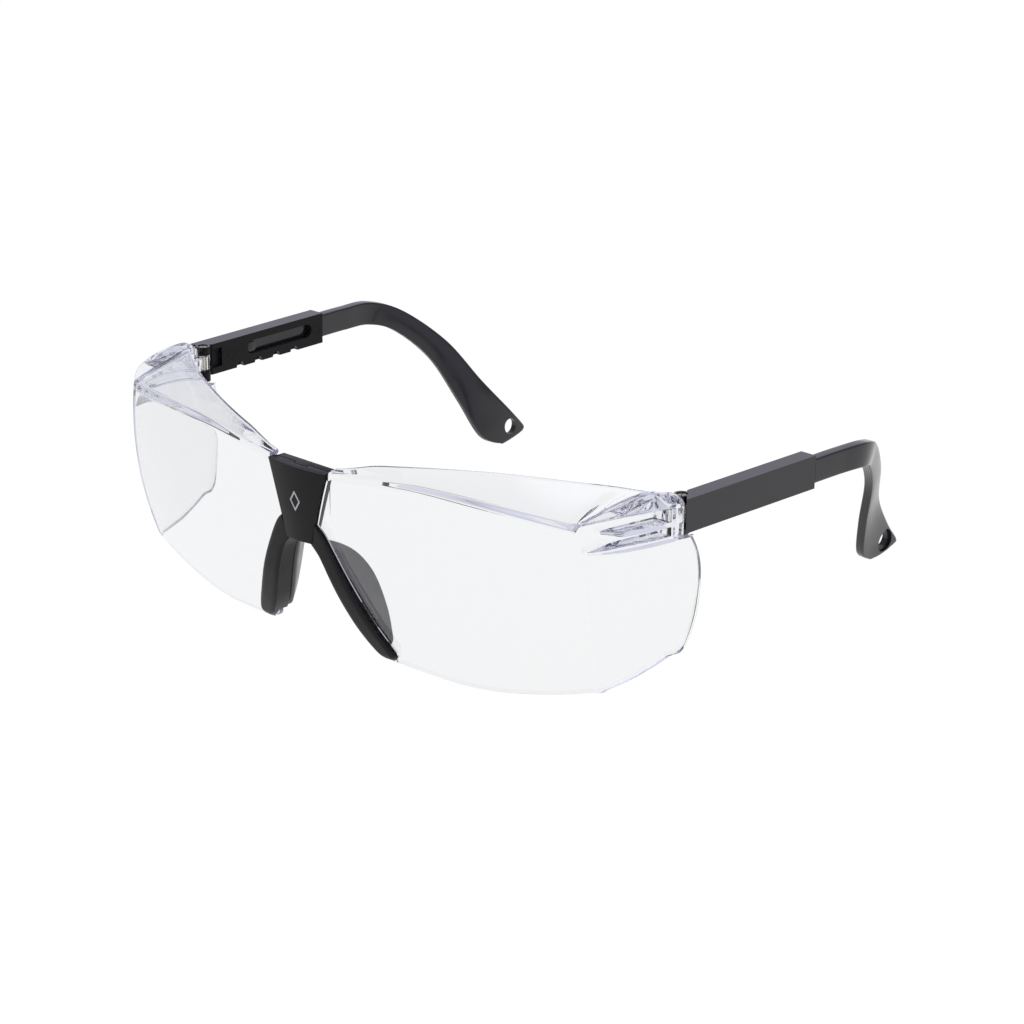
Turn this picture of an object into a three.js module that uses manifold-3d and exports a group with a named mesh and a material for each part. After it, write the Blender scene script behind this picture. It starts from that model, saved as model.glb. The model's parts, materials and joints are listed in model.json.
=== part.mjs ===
// Clear sports protective goggles: a one-piece shield, a bridge with a nose frame and two soft
// pads, and two temples. Each temple is a sleeve hinged to the shield and an arm that slides in it.
// Millimetres, +X to the wearer's left, -Y to the front, +Z up. The goggles stand on the lower
// edge of the shield and on the two tips of the ear hooks.
import * as THREE from "three";
import { mergeVertices } from "three/addons/utils/BufferGeometryUtils.js";
import Module from "manifold-3d";

const wasm = await Module();
wasm.setup();

const V = (x, y, z) => new THREE.Vector3(x, y, z);

// ---- Driving dimensions ---------------------------------------------------------------------

const GAP = 0.3; // play between neighbouring pieces

// Stance. Everything is drawn in the spectacle frame: its x axis joins the two hinge screws,
// and its y axis runs back along the temples. The stance then tips it onto the table.
const REST_PITCH = THREE.MathUtils.degToRad(2.74);
const STANCE_Y = -25.42;
const STANCE_Z = 43.94;

// Shield: two large curved faces that meet at an upright crease near each temple.
const WALL = 2; // thickness of the moulding
const FRONT_Y = -38; // foremost point of the front face
const FRONT_PLAN_RADIUS = 186;
const FRONT_UPRIGHT_RADIUS = 88;
const FRONT_APEX_Z = -6;
const SIDE_X = 68.5; // widest point of the side face at the crease
const SIDE_SLOPE = 0.183; // how fast the side face widens to the rear
const SIDE_REF_Y = -24.5;
const SIDE_UPRIGHT_RADIUS = 105;
const SIDE_APEX_Z = -19;
const CREASE_REACH = 1.4; // how far the rounding of the crease reaches along each face
const CREASE_REACH_INSIDE = 0.4;
const BROW_ROUNDING = 1.6;
const NOMINAL_CREASE_X = 67.3;
const BROW_REACH_X = 62; // where the ledge line that starts at the crease ends

// Hinge: one upright screw through two knuckles of the sleeve and a tongue of the shield.
const HINGE_X = 72;
const SPLAY = THREE.MathUtils.degToRad(1.455); // temples widen to the rear
const KNUCKLE_RADIUS = 1.7;
const KNUCKLE_TOP = -0.33;
const KNUCKLE_FLOOR = -8.6;
const TONGUE_TOP = -2.6;
const TONGUE_FLOOR = -5.75;
const TONGUE_RADIUS = 1.6;
const SCREW_RADIUS = 0.6;
const SCREW_HEAD_RADIUS = 1.05;
const SCREW_HEAD_DEPTH = 0.75;

// Sleeve, in the temple frame: its origin is on the hinge axis, level with the screw heads.
const SLEEVE_OUTER = 3.2;
const SLEEVE_INNER = -0.74;
const SLEEVE_TOP = KNUCKLE_TOP;
const SLEEVE_FLOOR = -7.6;
const SLEEVE_REAR = 38;
const SLEEVE_FRONT_OUTER = -2.2;
const SLEEVE_FRONT_INNER = 2.3;
const CAVITY = { inner: 0.4, outer: 2.4, floor: -6.75, top: -1.15, front: 6 };
const SLOT = { front: 13.4, rear: 34.3, height: 3.2, centreZ: -3.7 };
const NOTCH_PITCH = 5.8; // one click of the temple length
const NOTCH_COUNT = 4;
const FIRST_NOTCH_Y = 11.1;
const NOTCH_RADIUS = 1.15;

// Hinge lug, in the spectacle frame.
const LUG = {
  front: -24.4,
  rear: -2.1,
  floor: -8.3,
  edge: -0.7, // height of the outer top edge
  crown: 1.5,
  crownX: 72.3,
  outerX: 75.2,
  channels: [[-6.9, -5.05], [-3.95, -0.95]], // from lowest to highest
  channelRear: -7,
  ribFront: -20.3,
};

// Arm, in the temple frame.
const SHANK_FRONT = 9;
const SHANK_REAR = 40;
const PEG_RADIUS = 1;
const PEG_Y = 15.15;
const EAR_HOLE = V(-16.6, 86.7, -36.3);
const EAR_HOLE_RADIUS = 1.95;
const EAR_HOLE_SEAT_RADIUS = 2.7;

// ---- General geometry ----------------------------------------------------------------------

const lerp = THREE.MathUtils.lerp;
const steps = (n) => Array.from({ length: n + 1 }, (_, i) => i / n);

// A smooth line y(x) through a few points in order of x, straight beyond its ends.
function lineThrough(points) {
  const last = points.length - 1;
  const slope = (a, b) => (points[b][1] - points[a][1]) / (points[b][0] - points[a][0]);
  const slopes = points.map((_, i) => slope(Math.max(i - 1, 0), Math.min(i + 1, last)));
  return (x) => {
    if (x <= points[0][0]) return points[0][1];
    if (x >= points[last][0]) return points[last][1];
    const i = points.findIndex((p, k) => k < last && x < points[k + 1][0]);
    const span = points[i + 1][0] - points[i][0];
    const t = (x - points[i][0]) / span;
    const rise = points[i + 1][1] - points[i][1];
    const a = slopes[i] * span - rise;
    const b = rise - slopes[i + 1] * span;
    return points[i][1] + t * rise + t * (1 - t) * (a * (1 - t) + b * t);
  };
}

// The solid that a geometry encloses.
function solidOf(geometry) {
  const bare = geometry.index ? geometry.toNonIndexed() : geometry.clone();
  bare.deleteAttribute("normal");
  bare.deleteAttribute("uv");
  const merged = mergeVertices(bare, 1e-4);
  const mesh = new wasm.Mesh({
    numProp: 3,
    vertProperties: merged.attributes.position.array,
    triVerts: new Uint32Array(merged.index.array),
  });
  return new wasm.Manifold(mesh);
}

// The geometry of a solid, for a mesh.
function geometryOf(solid) {
  const { vertProperties, triVerts } = solid.getMesh();
  const geometry = new THREE.BufferGeometry();
  geometry.setAttribute("position", new THREE.BufferAttribute(vertProperties, 3));
  geometry.setIndex(new THREE.BufferAttribute(triVerts, 1));
  geometry.computeVertexNormals();
  return geometry;
}

// A solid that runs through sections of equal length. Each section is a closed ring whose first
// half and second half face each other, so its end caps are ladders from one half to the other.
function loft(sections) {
  const n = sections[0].length;
  const positions = sections.flatMap((ring) => ring.flatMap((p) => [p.x, p.y, p.z]));
  const index = [];
  const quad = (a, b, c, d) => index.push(a, b, c, a, c, d);
  for (let s = 0; s + 1 < sections.length; s++) {
    for (let k = 0; k < n; k++) {
      const next = (k + 1) % n;
      quad(s * n + k, s * n + next, (s + 1) * n + next, (s + 1) * n + k);
    }
  }
  const end = (sections.length - 1) * n;
  for (let k = 0; k + 1 < n / 2; k++) {
    quad(n - 1 - k, n - 2 - k, k + 1, k);
    quad(end + k, end + k + 1, end + n - 2 - k, end + n - 1 - k);
  }
  const geometry = new THREE.BufferGeometry();
  geometry.setAttribute("position", new THREE.Float32BufferAttribute(positions, 3));
  geometry.setIndex(facingOut(positions, index));
  return solidOf(geometry);
}

// The triangles of a closed surface, turned round if they face inwards.
function facingOut(positions, index) {
  const at = (i) => V(...positions.slice(3 * i, 3 * i + 3));
  let volume = 0;
  for (let i = 0; i < index.length; i += 3) {
    const [a, b, c] = [at(index[i]), at(index[i + 1]), at(index[i + 2])];
    volume += a.dot(b.cross(c));
  }
  return volume < 0 ? index.reverse() : index;
}

// Prisms: an outline of [a, b] pairs or a Shape, extruded along z, y or x.
function shapeOf(outline) {
  return outline instanceof THREE.Shape
    ? outline
    : new THREE.Shape(outline.map(([a, b]) => new THREE.Vector2(a, b)));
}

function extruded(outline, depth) {
  const options = { depth, bevelEnabled: false, curveSegments: 6 };
  return new THREE.ExtrudeGeometry(shapeOf(outline), options);
}

function prismZ(outlineXY, from, to) {
  return solidOf(extruded(outlineXY, to - from).translate(0, 0, from));
}

function prismY(outlineXZ, from, to) {
  return solidOf(extruded(outlineXZ, to - from).rotateX(Math.PI / 2).translate(0, to, 0));
}

function prismX(outlineYZ, from, to) {
  const turn = new THREE.Matrix4().makeBasis(V(0, 1, 0), V(0, 0, 1), V(1, 0, 0));
  return solidOf(extruded(outlineYZ, to - from).applyMatrix4(turn).translate(from, 0, 0));
}

function block(x0, x1, y0, y1, z0, z1) {
  const box = new THREE.BoxGeometry(x1 - x0, y1 - y0, z1 - z0);
  return solidOf(box.translate((x0 + x1) / 2, (y0 + y1) / 2, (z0 + z1) / 2));
}

// An upright cylinder at (x, y), and a cylinder along x at (y, z).
function post(x, y, radius, from, to) {
  const round = new THREE.CylinderGeometry(radius, radius, to - from, 24);
  return solidOf(round.rotateX(Math.PI / 2).translate(x, y, (from + to) / 2));
}

function barX(y, z, radius, from, to) {
  const round = new THREE.CylinderGeometry(radius, radius, to - from, 24);
  return solidOf(round.rotateZ(Math.PI / 2).translate((from + to) / 2, y, z));
}

// A sheet between the surfaces y = front(x, z) and y = back(x, z), from x = left(z) to right(z).
function sheetBetween(heights, left, right, front, back) {
  const sections = heights.map((z) => {
    const across = steps(3).map((t) => lerp(left(z), right(z), t));
    const outer = across.map((x) => V(x, front(x, z), z));
    const inner = across.map((x) => V(x, back(x, z), z));
    return [...outer, ...inner.reverse()];
  });
  return loft(sections);
}

function mirrored(solid) {
  return solid.mirror([1, 0, 0]);
}

function both(solid) {
  return solid.add(mirrored(solid));
}

// ---- Shield --------------------------------------------------------------------------------

// How far a circle of this radius falls away from its apex, at a distance from it.
const fall = (radius, distance) => radius - Math.sqrt(radius ** 2 - distance ** 2);

const frontY = (x, z) =>
  FRONT_Y + fall(FRONT_PLAN_RADIUS, x) + fall(FRONT_UPRIGHT_RADIUS, z - FRONT_APEX_Z);

const sideX = (y, z) =>
  SIDE_X + SIDE_SLOPE * (y - SIDE_REF_Y) - fall(SIDE_UPRIGHT_RADIUS, z - SIDE_APEX_Z);

// Outlines of the shield: its top and bottom edges over x, the bottom of the side shield over y,
// the rear edge of the side shield over z, and the rear edge of the brow ledge over x.
const topEdge = lineThrough([[0, -2.6], [9, -2.1], [20, -0.9], [33, 0.1], [50, -0.5], [67.3, -1.9]]);
const bottomEdge = lineThrough([
  [0, -12.7], [2.5, -13], [4, -15], [5, -17.3], [6.8, -21.7], [9.2, -26.6], [11.9, -32.6],
  [14.3, -37.7], [16.4, -41.8], [18.2, -43.6], [21, -44], [30, -44.7], [38, -45.1], [48, -44.3],
  [60, -41.9], [67.3, -39.8],
]);
const sideTopEdge = lineThrough([
  [-25, -1.9], [-21, -1.15], [-17.5, -0.4], [-13.5, 0.4], [-8, 0.9], [-3, 0.6],
]);
const sideBottomEdge = lineThrough([[-22, -39.8], [-10.8, -38.4], [-4.7, -37], [1, -35.3]]);
const rearEdge = lineThrough([
  [-35.3, 1], [-34.3, 2.3], [-30.9, 3.6], [-26.4, 4.5], [-20, 4.9], [-15, 4.6], [-11, 3.4], [-9, 2.2],
]);
const browRearY = (x) => -35.7 + x ** 2 / 163;
const browRearZ = lineThrough([[0, -2.1], [9, -1.7], [20, 1.1], [42, 3.1], [62, 2.1], [71.3, 0.6]]);

// The crease at one height: where the two faces meet, and where its rounding starts and ends.
function creaseAt(z, inset) {
  const reach = inset > 0 ? CREASE_REACH_INSIDE : CREASE_REACH;
  let x = SIDE_X;
  for (let i = 0; i < 12; i++) x = sideX(frontY(x, z) + inset, z) - inset;
  const y = frontY(x, z) + inset;
  return {
    start: V(x - reach, frontY(x - reach, z) + inset, z),
    corner: V(x, y, z),
    end: V(sideX(y + reach, z) - inset, y + reach, z),
  };
}

// One upright line of the shield wall. Place counts along the wall: 0 to 1 over the front face,
// 1 to 2 round the crease, and 2 to 3 along the side face.
function wallPoint(place, z, inset) {
  const { start, corner, end } = creaseAt(z, inset);
  if (place <= 1) {
    const x = place * start.x;
    return V(x, frontY(x, z) + inset, z);
  }
  if (place < 2) return new THREE.QuadraticBezierCurve3(start, corner, end).getPoint(place - 1);
  const y = lerp(end.y, rearEdge(z), place - 2);
  return V(sideX(y, z) - inset, y, z);
}

// Where the ledge ends, for the same upright line. Behind the hinge it shrinks to the wall.
function ledgeEnd(place, z) {
  const widest = 2.72; // place along the side face where the ledge reaches the hinge
  if (place <= 1) {
    const x = place * BROW_REACH_X;
    return V(x, browRearY(x), browRearZ(x));
  }
  if (place < widest) {
    const x = lerp(BROW_REACH_X, 71.3 - WALL, (place - 1) / (widest - 1));
    return V(x, browRearY(x), browRearZ(x));
  }
  const inside = wallPoint(place, z, WALL);
  return V(inside.x - 0.4, inside.y, z);
}

// The cross-section of the wall and its ledge at one place, as a ring.
function shieldSection(place) {
  const nominalX = Math.min(place, 1) * NOMINAL_CREASE_X;
  const sideY = wallPoint(Math.max(place, 2), -30, 0).y;
  const bottom = place <= 2 ? bottomEdge(nominalX) : sideBottomEdge(sideY);
  const top = place <= 2 ? topEdge(nominalX) : sideTopEdge(wallPoint(place, 0, 0).y);
  const end = ledgeEnd(place, top);
  const outer = [];
  const inner = [];
  for (const t of steps(8)) {
    outer.push(wallPoint(place, lerp(bottom, top - BROW_ROUNDING, t), 0));
    inner.push(wallPoint(place, lerp(bottom, top - WALL - 0.4, t), WALL));
  }
  const brow = wallPoint(place, top, 0);
  const below = wallPoint(place, top - WALL, WALL);
  const away = end.clone().sub(brow);
  const width = away.length();
  const onLedge = brow.clone().addScaledVector(away, Math.min(BROW_ROUNDING / width, 0.45));
  const rounding = new THREE.QuadraticBezierCurve3(outer.at(-1), brow, onLedge);
  outer.push(rounding.getPoint(0.5), onLedge, onLedge.clone().lerp(end, 0.5), end);
  const endBelow = end.clone().add(V(0, 0, -WALL));
  for (const t of [0, 0.33, 0.66, 1]) inner.push(below.clone().lerp(endBelow, t));
  return [...outer, ...inner.reverse()];
}

function shieldShell() {
  const places = [
    ...steps(16).map((t) => (t * 21) / NOMINAL_CREASE_X),
    ...steps(11).slice(1).map((t) => lerp(21 / NOMINAL_CREASE_X, 1, t)),
    1.33, 1.67,
    ...steps(8).map((t) => 2 + t),
  ];
  const half = places.map(shieldSection);
  const flip = (ring) => ring.map((p) => V(-p.x, p.y, p.z));
  return loft([...half.slice(1).reverse().map(flip), ...half]);
}

// The hinge lug: a block that stands out from the side shield and ends flush with the sleeve. Two
// channels along its outer face leave a rib between them, and its top is a dome with a sloping
// outer shoulder.
function hingeLug() {
  const { front, rear, floor, edge, crown, crownX, outerX, channelRear, ribFront } = LUG;
  const [lower, upper] = LUG.channels;
  const plan = [
    [66.4, front], [68.4, -23.4], [70.5, -21], [72.4, -17.5], [74.35, -11], [outerX, -5.5],
    [outerX, -2.9], [73.8, rear], [70.2, rear], [69.2, -4.6], [67, -14],
  ];
  const dome = new THREE.Shape();
  dome.moveTo(front, floor);
  dome.lineTo(rear, floor);
  dome.lineTo(rear, 0.2);
  dome.quadraticCurveTo(-3.4, 1.6, -6.5, crown);
  dome.quadraticCurveTo(-10.5, 1.3, -17.5, edge);
  dome.lineTo(front, -2);
  const shoulder = [[crownX, crown], [outerX + 0.3, edge], [80, edge], [80, 3], [crownX, 3]];
  return prismZ(plan, floor - 1, 2)
    .intersect(prismX(dome, 60, 80))
    .subtract(prismY(shoulder, front, 0))
    .subtract(block(60, 80, front, channelRear, ...lower))
    .subtract(block(60, 80, front, channelRear, ...upper))
    .subtract(block(60, 80, front, ribFront, lower[0], upper[1]));
}

function hingeTongue() {
  const web = block(HINGE_X - 1.1, HINGE_X + 1.1, -2.6, 0, TONGUE_FLOOR, TONGUE_TOP);
  return web.add(post(HINGE_X, 0, TONGUE_RADIUS, TONGUE_FLOOR, TONGUE_TOP));
}

function shield() {
  const hingeRoom = block(62, 84, -3, 12, -9.9, 8);
  const behindLedge = prismZ(
    [[60, -5.9], [68.9, -5.9], [70.4, -4.9], [71.2, -3.6], [71.3, 8], [60, 8]], -2.4, 4,
  );
  const bore = post(HINGE_X, 0, SCREW_RADIUS + GAP, TONGUE_FLOOR - 1, TONGUE_TOP + 1);
  const bridgeBoss = block(-8.2, 8.2, -36.6, -35.6, -12.4, -4.5);
  const bridgeNotch = block(-8.8, 8.8, -42, -30, BRIDGE.lensTop, 6);
  const behindBridge = block(-8.8, 8.8, -35.55, -30, -13, -2);
  return shieldShell()
    .subtract(both(hingeRoom.add(behindLedge)))
    .add(both(hingeLug()))
    .add(both(hingeTongue()))
    .subtract(both(bore))
    .add(bridgeBoss)
    .subtract(bridgeNotch)
    .subtract(behindBridge)
    .subtract(coverEnvelope(GAP))
    .subtract(both(noseStrip(GAP).add(noseWeb(GAP))))
    .subtract(noseHub(GAP));
}

// ---- Bridge --------------------------------------------------------------------------------

// The bridge is a tapered black cover in front of the shield and a clip behind it. Both have a
// wall that reaches over the top edge of the shield, and the clip's tab snaps into the cover.
const BRIDGE = {
  topHalfWidth: 8.5,
  bottomHalfWidth: 3.7,
  top: -2.6,
  floor: -19.1,
  front: -38.5, // at the corners
  floorFront: -37.9,
  crown: 1, // how far the middle stands in front of the corners
  coverBack: -37.25,
  parting: -36.6,
  clipFront: -35.25,
  clipBack: -34.4,
  clipFloor: -18,
  clipInset: -0.5,
  wall: 1,
  lensTop: -4,
  tabHalfWidth: 2,
  tabReach: 0.8,
};

const bridgeHalfWidth = (z) => {
  const t = (BRIDGE.top - z) / (BRIDGE.top - BRIDGE.floor);
  return lerp(BRIDGE.topHalfWidth, BRIDGE.bottomHalfWidth, t);
};

// A tapered slab as wide as the bridge plus a margin, crowned in front and flat behind.
function bridgeSlab(margin, crown, front, floorFront, back, top, floor) {
  const sections = [top, lerp(top, floor, 0.5), floor].map((z, i) => {
    const halfWidth = bridgeHalfWidth(z) + margin;
    const corner = lerp(front, floorFront, i / 2);
    const across = steps(8).map((t) => lerp(-1, 1, t));
    const bulge = (u) => crown * (halfWidth / BRIDGE.topHalfWidth) * (1 - u * u);
    const outer = across.map((u) => V(u * halfWidth, corner - bulge(u), z));
    const inner = across.map((u) => V(u * halfWidth, back, z));
    return [...outer, ...inner.reverse()];
  });
  return loft(sections);
}

// The room that the cover takes up, with play around it.
function coverEnvelope(play) {
  const back = BRIDGE.coverBack + play;
  return bridgeSlab(play, 0, -44, -44, back, 3, BRIDGE.floor - play);
}

function bridgeCover() {
  const b = BRIDGE;
  const plate = bridgeSlab(0, b.crown, b.front, b.floorFront, b.coverBack, b.top, b.floor);
  const lip = block(-b.topHalfWidth, b.topHalfWidth, b.coverBack - 0.2, b.parting, b.top - b.wall, b.top);
  const tabRoom = block(
    -b.tabHalfWidth - GAP, b.tabHalfWidth + GAP, b.parting - b.tabReach, b.parting + 1,
    b.top - b.wall - 1, b.top + 1,
  );
  return plate.add(lip).subtract(tabRoom);
}

function bridgeClip() {
  const b = BRIDGE;
  const plate = bridgeSlab(b.clipInset, 0, b.clipFront, b.clipFront, b.clipBack, b.top, b.clipFloor);
  const lipFront = b.parting + GAP;
  const lip = block(-8, 8, lipFront, b.clipFront + 0.2, b.top - b.wall, b.top);
  const tab = block(
    -b.tabHalfWidth, b.tabHalfWidth, lipFront - b.tabReach, lipFront + 0.2, b.top - b.wall, b.top,
  );
  return plate.add(lip).add(tab);
}

// ---- Nose frame and pads --------------------------------------------------------------------

// The frame is a fork: two strips in front of the shield beside the nose opening, a thin web
// through the opening along each strip's inner edge, and a hub behind the cover.
const NOSE = {
  hubTop: -13.1,
  lean: 1.12, // the strips lean, so a thickness across them is this much wider at one height
  seatDepth: 0.8, // how deep the strips lie in the shield's front face
  webThickness: 1,
  webRear: 2.9, // behind the shield's front face
  inner: lineThrough([
    [-43.4, 17.9], [-41.6, 15.7], [-37.4, 12.7], [-32.5, 10.2], [-26.4, 7.5], [-21.7, 5.2], [-19.2, 3],
  ]),
  outer: lineThrough([
    [-43.4, 19.2], [-41.9, 20.2], [-39.9, 19.5], [-35.2, 16.9], [-29.1, 13.8], [-22.3, 10.3],
    [-17.3, 7.5], [-15.5, 6.1], [-14, 4.2],
  ]),
};

const proudOf = (z) => 0.7 + 0.7 * THREE.MathUtils.smoothstep(-z, 17, 30);

// The heights of a piece's sections, stretched by the play at its two ends.
const stretched = (heights, play) =>
  heights.map((z, i) => z + (i === 0 ? -play : 0) + (i === heights.length - 1 ? play : 0));

// One strip. The room for it in the shield has play at its edges and is open to the front.
function noseStrip(play) {
  const heights = [
    -43.4, -42.9, -41.9, -40.6, -39, -36, -33, -30, -27, -24, -22, -20.5, -19.2, -17.3, -16.2, -15.2,
    -14.2, NOSE.hubTop,
  ];
  const spread = play * NOSE.lean;
  const left = (z) => NOSE.inner(z) - spread;
  const right = (z) => NOSE.outer(z) + spread;
  const front = (x, z) => frontY(x, z) - (play > 0 ? 4 : proudOf(z));
  const back = (x, z) => frontY(x, z) + NOSE.seatDepth - (play > 0 ? 0 : GAP);
  return sheetBetween(stretched(heights, play), left, right, front, back);
}

function noseWeb(play) {
  const heights = [-41.2, -39, -36, -33, -30, -27, -24, -21.7, -19.2];
  const spread = play * NOSE.lean;
  const left = (z) => NOSE.inner(z) - spread;
  const right = (z) => NOSE.inner(z) + NOSE.webThickness * NOSE.lean + spread;
  const front = (x, z) => frontY(x, z) - GAP - play;
  const back = (x, z) => frontY(x, z) + NOSE.webRear + play;
  return sheetBetween(stretched(heights, play), left, right, front, back);
}

function noseHub(play) {
  const half = [[2.2, NOSE.hubTop + play], [3.6 + play, -15.2], [5 + play, -19], [3.6, -19.6 - play]];
  const outline = [...half, ...half.map(([x, z]) => [-x, z]).reverse()];
  return prismY(outline, BRIDGE.coverBack + GAP - play, BRIDGE.clipFront - GAP + play);
}

function noseFrame() {
  const front = BRIDGE.clipFront - GAP;
  const clipRoom = bridgeSlab(BRIDGE.clipInset + GAP, 0, front, front, -30, 0, BRIDGE.clipFloor - GAP);
  return both(noseStrip(0).add(noseWeb(0)))
    .add(noseHub(0))
    .subtract(coverEnvelope(GAP))
    .subtract(clipRoom);
}

// A pad is a leaf that flares back and outward from the rear of the web.
const PAD = {
  heights: [-41, -39.4, -37, -34, -31, -28, -25, -22, -20, -18.8],
  reach: lineThrough([
    [-41, 0.9], [-39, 2.6], [-34.6, 4.9], [-29.4, 6.2], [-25, 6.3], [-21, 4.6], [-18.8, 1.4],
  ]),
  frontThickness: 1.5,
  rearThickness: 0.8,
  direction: new THREE.Vector2(0.42, 0.907),
};

function nosePad() {
  const across = new THREE.Vector2(PAD.direction.y, -PAD.direction.x);
  const sections = PAD.heights.map((z) => {
    const x = NOSE.inner(z) + 0.7;
    const root = new THREE.Vector2(x, frontY(x, z) + NOSE.webRear + GAP + 0.5);
    const at = (along, offset) => {
      const p = root.clone().addScaledVector(PAD.direction, along).addScaledVector(across, offset);
      return V(p.x, p.y, z);
    };
    const reach = PAD.reach(z);
    const [a, b] = [PAD.frontThickness / 2, PAD.rearThickness / 2];
    const half = (sign) => [
      at(0, sign * a * 0.6), at(0.3, sign * a), at(reach * 0.6, sign * (a + b) * 0.5),
      at(reach * 0.93, sign * b), at(reach, sign * b * 0.4),
    ];
    return [...half(1), ...half(-1).reverse()];
  });
  return loft(sections);
}

// ---- Temples, in the temple frame -----------------------------------------------------------

function sleeve() {
  const plan = [
    [SLEEVE_OUTER, SLEEVE_FRONT_OUTER], [SLEEVE_OUTER, SLEEVE_REAR], [SLEEVE_INNER, SLEEVE_REAR],
    [SLEEVE_INNER, SLEEVE_FRONT_INNER],
  ];
  const body = prismZ(plan, SLEEVE_FLOOR, SLEEVE_TOP);
  const upperKnuckle = post(0, 0, KNUCKLE_RADIUS, TONGUE_TOP + GAP, KNUCKLE_TOP);
  const lowerKnuckle = post(0, 0, KNUCKLE_RADIUS, KNUCKLE_FLOOR, TONGUE_FLOOR - GAP);
  const tongueRoom = post(0, 0, TONGUE_RADIUS + 1.25 * GAP, TONGUE_FLOOR - GAP, TONGUE_TOP + GAP);
  const pocket = block(-2, 0.2, 2.4, 5.3, -6.1, -1.6);
  const bore = post(0, 0, SCREW_RADIUS + GAP, -10, 2);
  const counterbore = post(0, 0, SCREW_HEAD_RADIUS + GAP, KNUCKLE_TOP - 1.1, 2);
  const cavity = block(CAVITY.inner, CAVITY.outer, CAVITY.front, 50, CAVITY.floor, CAVITY.top);
  return body
    .add(upperKnuckle)
    .add(lowerKnuckle)
    .subtract(tongueRoom)
    .subtract(pocket)
    .subtract(bore)
    .subtract(counterbore)
    .subtract(cavity)
    .subtract(sleeveSlot())
    .subtract(sleeveNotches());
}

// The window that the arm's peg travels in, cut through the inner wall.
function sleeveSlot() {
  const r = SLOT.height / 2;
  const outline = new THREE.Shape();
  outline.absarc(SLOT.rear - r, SLOT.centreZ, r, -Math.PI / 2, Math.PI / 2);
  outline.absarc(SLOT.front + r, SLOT.centreZ, r, Math.PI / 2, (3 * Math.PI) / 2);
  return prismX(outline, SLEEVE_INNER - 1, CAVITY.inner + 0.1);
}

// Scallops in the lower inner edge, one for each length of the temple.
function sleeveNotches() {
  const notches = steps(NOTCH_COUNT - 1).map((t) => {
    const y = FIRST_NOTCH_Y + t * (NOTCH_COUNT - 1) * NOTCH_PITCH;
    return barX(y, SLEEVE_FLOOR, NOTCH_RADIUS, SLEEVE_INNER - 1, CAVITY.inner + 0.1);
  });
  return notches.reduce((all, one) => all.add(one));
}

// The ear hook: opposite points on its front and rear edges, and its thickness there.
const HOOK = [
  [V(1.63, 38.3, -6.65), V(1.63, 38.3, -1.25), 2.75],
  [V(1.63, 47, -6.65), V(1.63, 47, -1.25), 2.75],
  [V(1.4, 55, -7.05), V(1.4, 56.2, -1.7), 2.75],
  [V(-1.9, 61.3, -9.4), V(-2.3, 64, -4.9), 2.6],
  [V(-6.7, 68.7, -17), V(-7.9, 73.3, -13.2), 2.4],
  [V(-11.7, 73.6, -27.9), V(-13.3, 80.2, -23.7), 2.4],
  [V(-15.2, 77.6, -36.8), V(-16, 87.6, -32.4), 2.4],
  [V(-16.5, 81.8, -39.6), V(-16.6, 91.9, -37.2), 2.2],
  [V(-16.6, 84.2, -39.9), V(-16.7, 91, -38.3), 1.8],
];
const HOOK_SECTIONS = 24;

// A section of the hook: a flat bar with rounded edges. Heading is the way the hook runs.
function hookRing(front, rear, thickness, heading) {
  const across = rear.clone().sub(front);
  const side = across.clone().cross(heading).normalize().multiplyScalar(thickness / 2);
  const at = (t, s) => front.clone().addScaledVector(across, t).addScaledVector(side, s);
  const rounding = [[0, 0.45], [0.08, 0.9], [0.2, 1]];
  const half = (sign) => [
    ...rounding.map(([t, s]) => at(t, s * sign)),
    ...rounding.map(([t, s]) => at(1 - t, s * sign)).reverse(),
  ];
  return [...half(1), ...half(-1).reverse()];
}

function earHook() {
  const frontEdge = new THREE.CatmullRomCurve3(HOOK.map(([front]) => front));
  const rearEdge = new THREE.CatmullRomCurve3(HOOK.map(([, rear]) => rear));
  const thickness = lineThrough(HOOK.map((section, i) => [i / (HOOK.length - 1), section[2]]));
  const rings = steps(HOOK_SECTIONS).map((t) => {
    const heading = frontEdge.getTangent(t).add(rearEdge.getTangent(t)).normalize();
    return hookRing(frontEdge.getPoint(t), rearEdge.getPoint(t), thickness(t), heading);
  });
  return loft(rings);
}

function templeArm() {
  const inner = CAVITY.inner + GAP;
  const shank = block(
    inner, CAVITY.outer - GAP, SHANK_FRONT, SHANK_REAR, CAVITY.floor + GAP, CAVITY.top - GAP,
  );
  const peg = barX(PEG_Y, SLOT.centreZ, PEG_RADIUS, SLEEVE_INNER + 0.35, inner + 0.2);
  const { x, y, z } = EAR_HOLE;
  const hole = barX(y, z, EAR_HOLE_RADIUS, x - 4, x + 4);
  const seat = barX(y, z, EAR_HOLE_SEAT_RADIUS, x + 0.5, x + 4);
  return shank.add(peg).add(earHook()).subtract(hole).subtract(seat);
}

function hingeScrew() {
  const foot = KNUCKLE_FLOOR + 0.1;
  const top = KNUCKLE_TOP - 0.2;
  const under = top - SCREW_HEAD_DEPTH;
  const chamfer = 0.15;
  const profile = [
    [0, foot], [SCREW_RADIUS, foot], [SCREW_RADIUS, under], [SCREW_HEAD_RADIUS, under],
    [SCREW_HEAD_RADIUS, top - chamfer], [SCREW_HEAD_RADIUS - chamfer, top], [0, top],
  ];
  const lathe = new THREE.LatheGeometry(profile.map(([r, z]) => new THREE.Vector2(r, z)), 20);
  return solidOf(lathe.rotateX(Math.PI / 2));
}

// ---- Assembly --------------------------------------------------------------------------------

const finish = (color, roughness, metalness = 0) =>
  new THREE.MeshStandardMaterial({ color, roughness, metalness });

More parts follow.
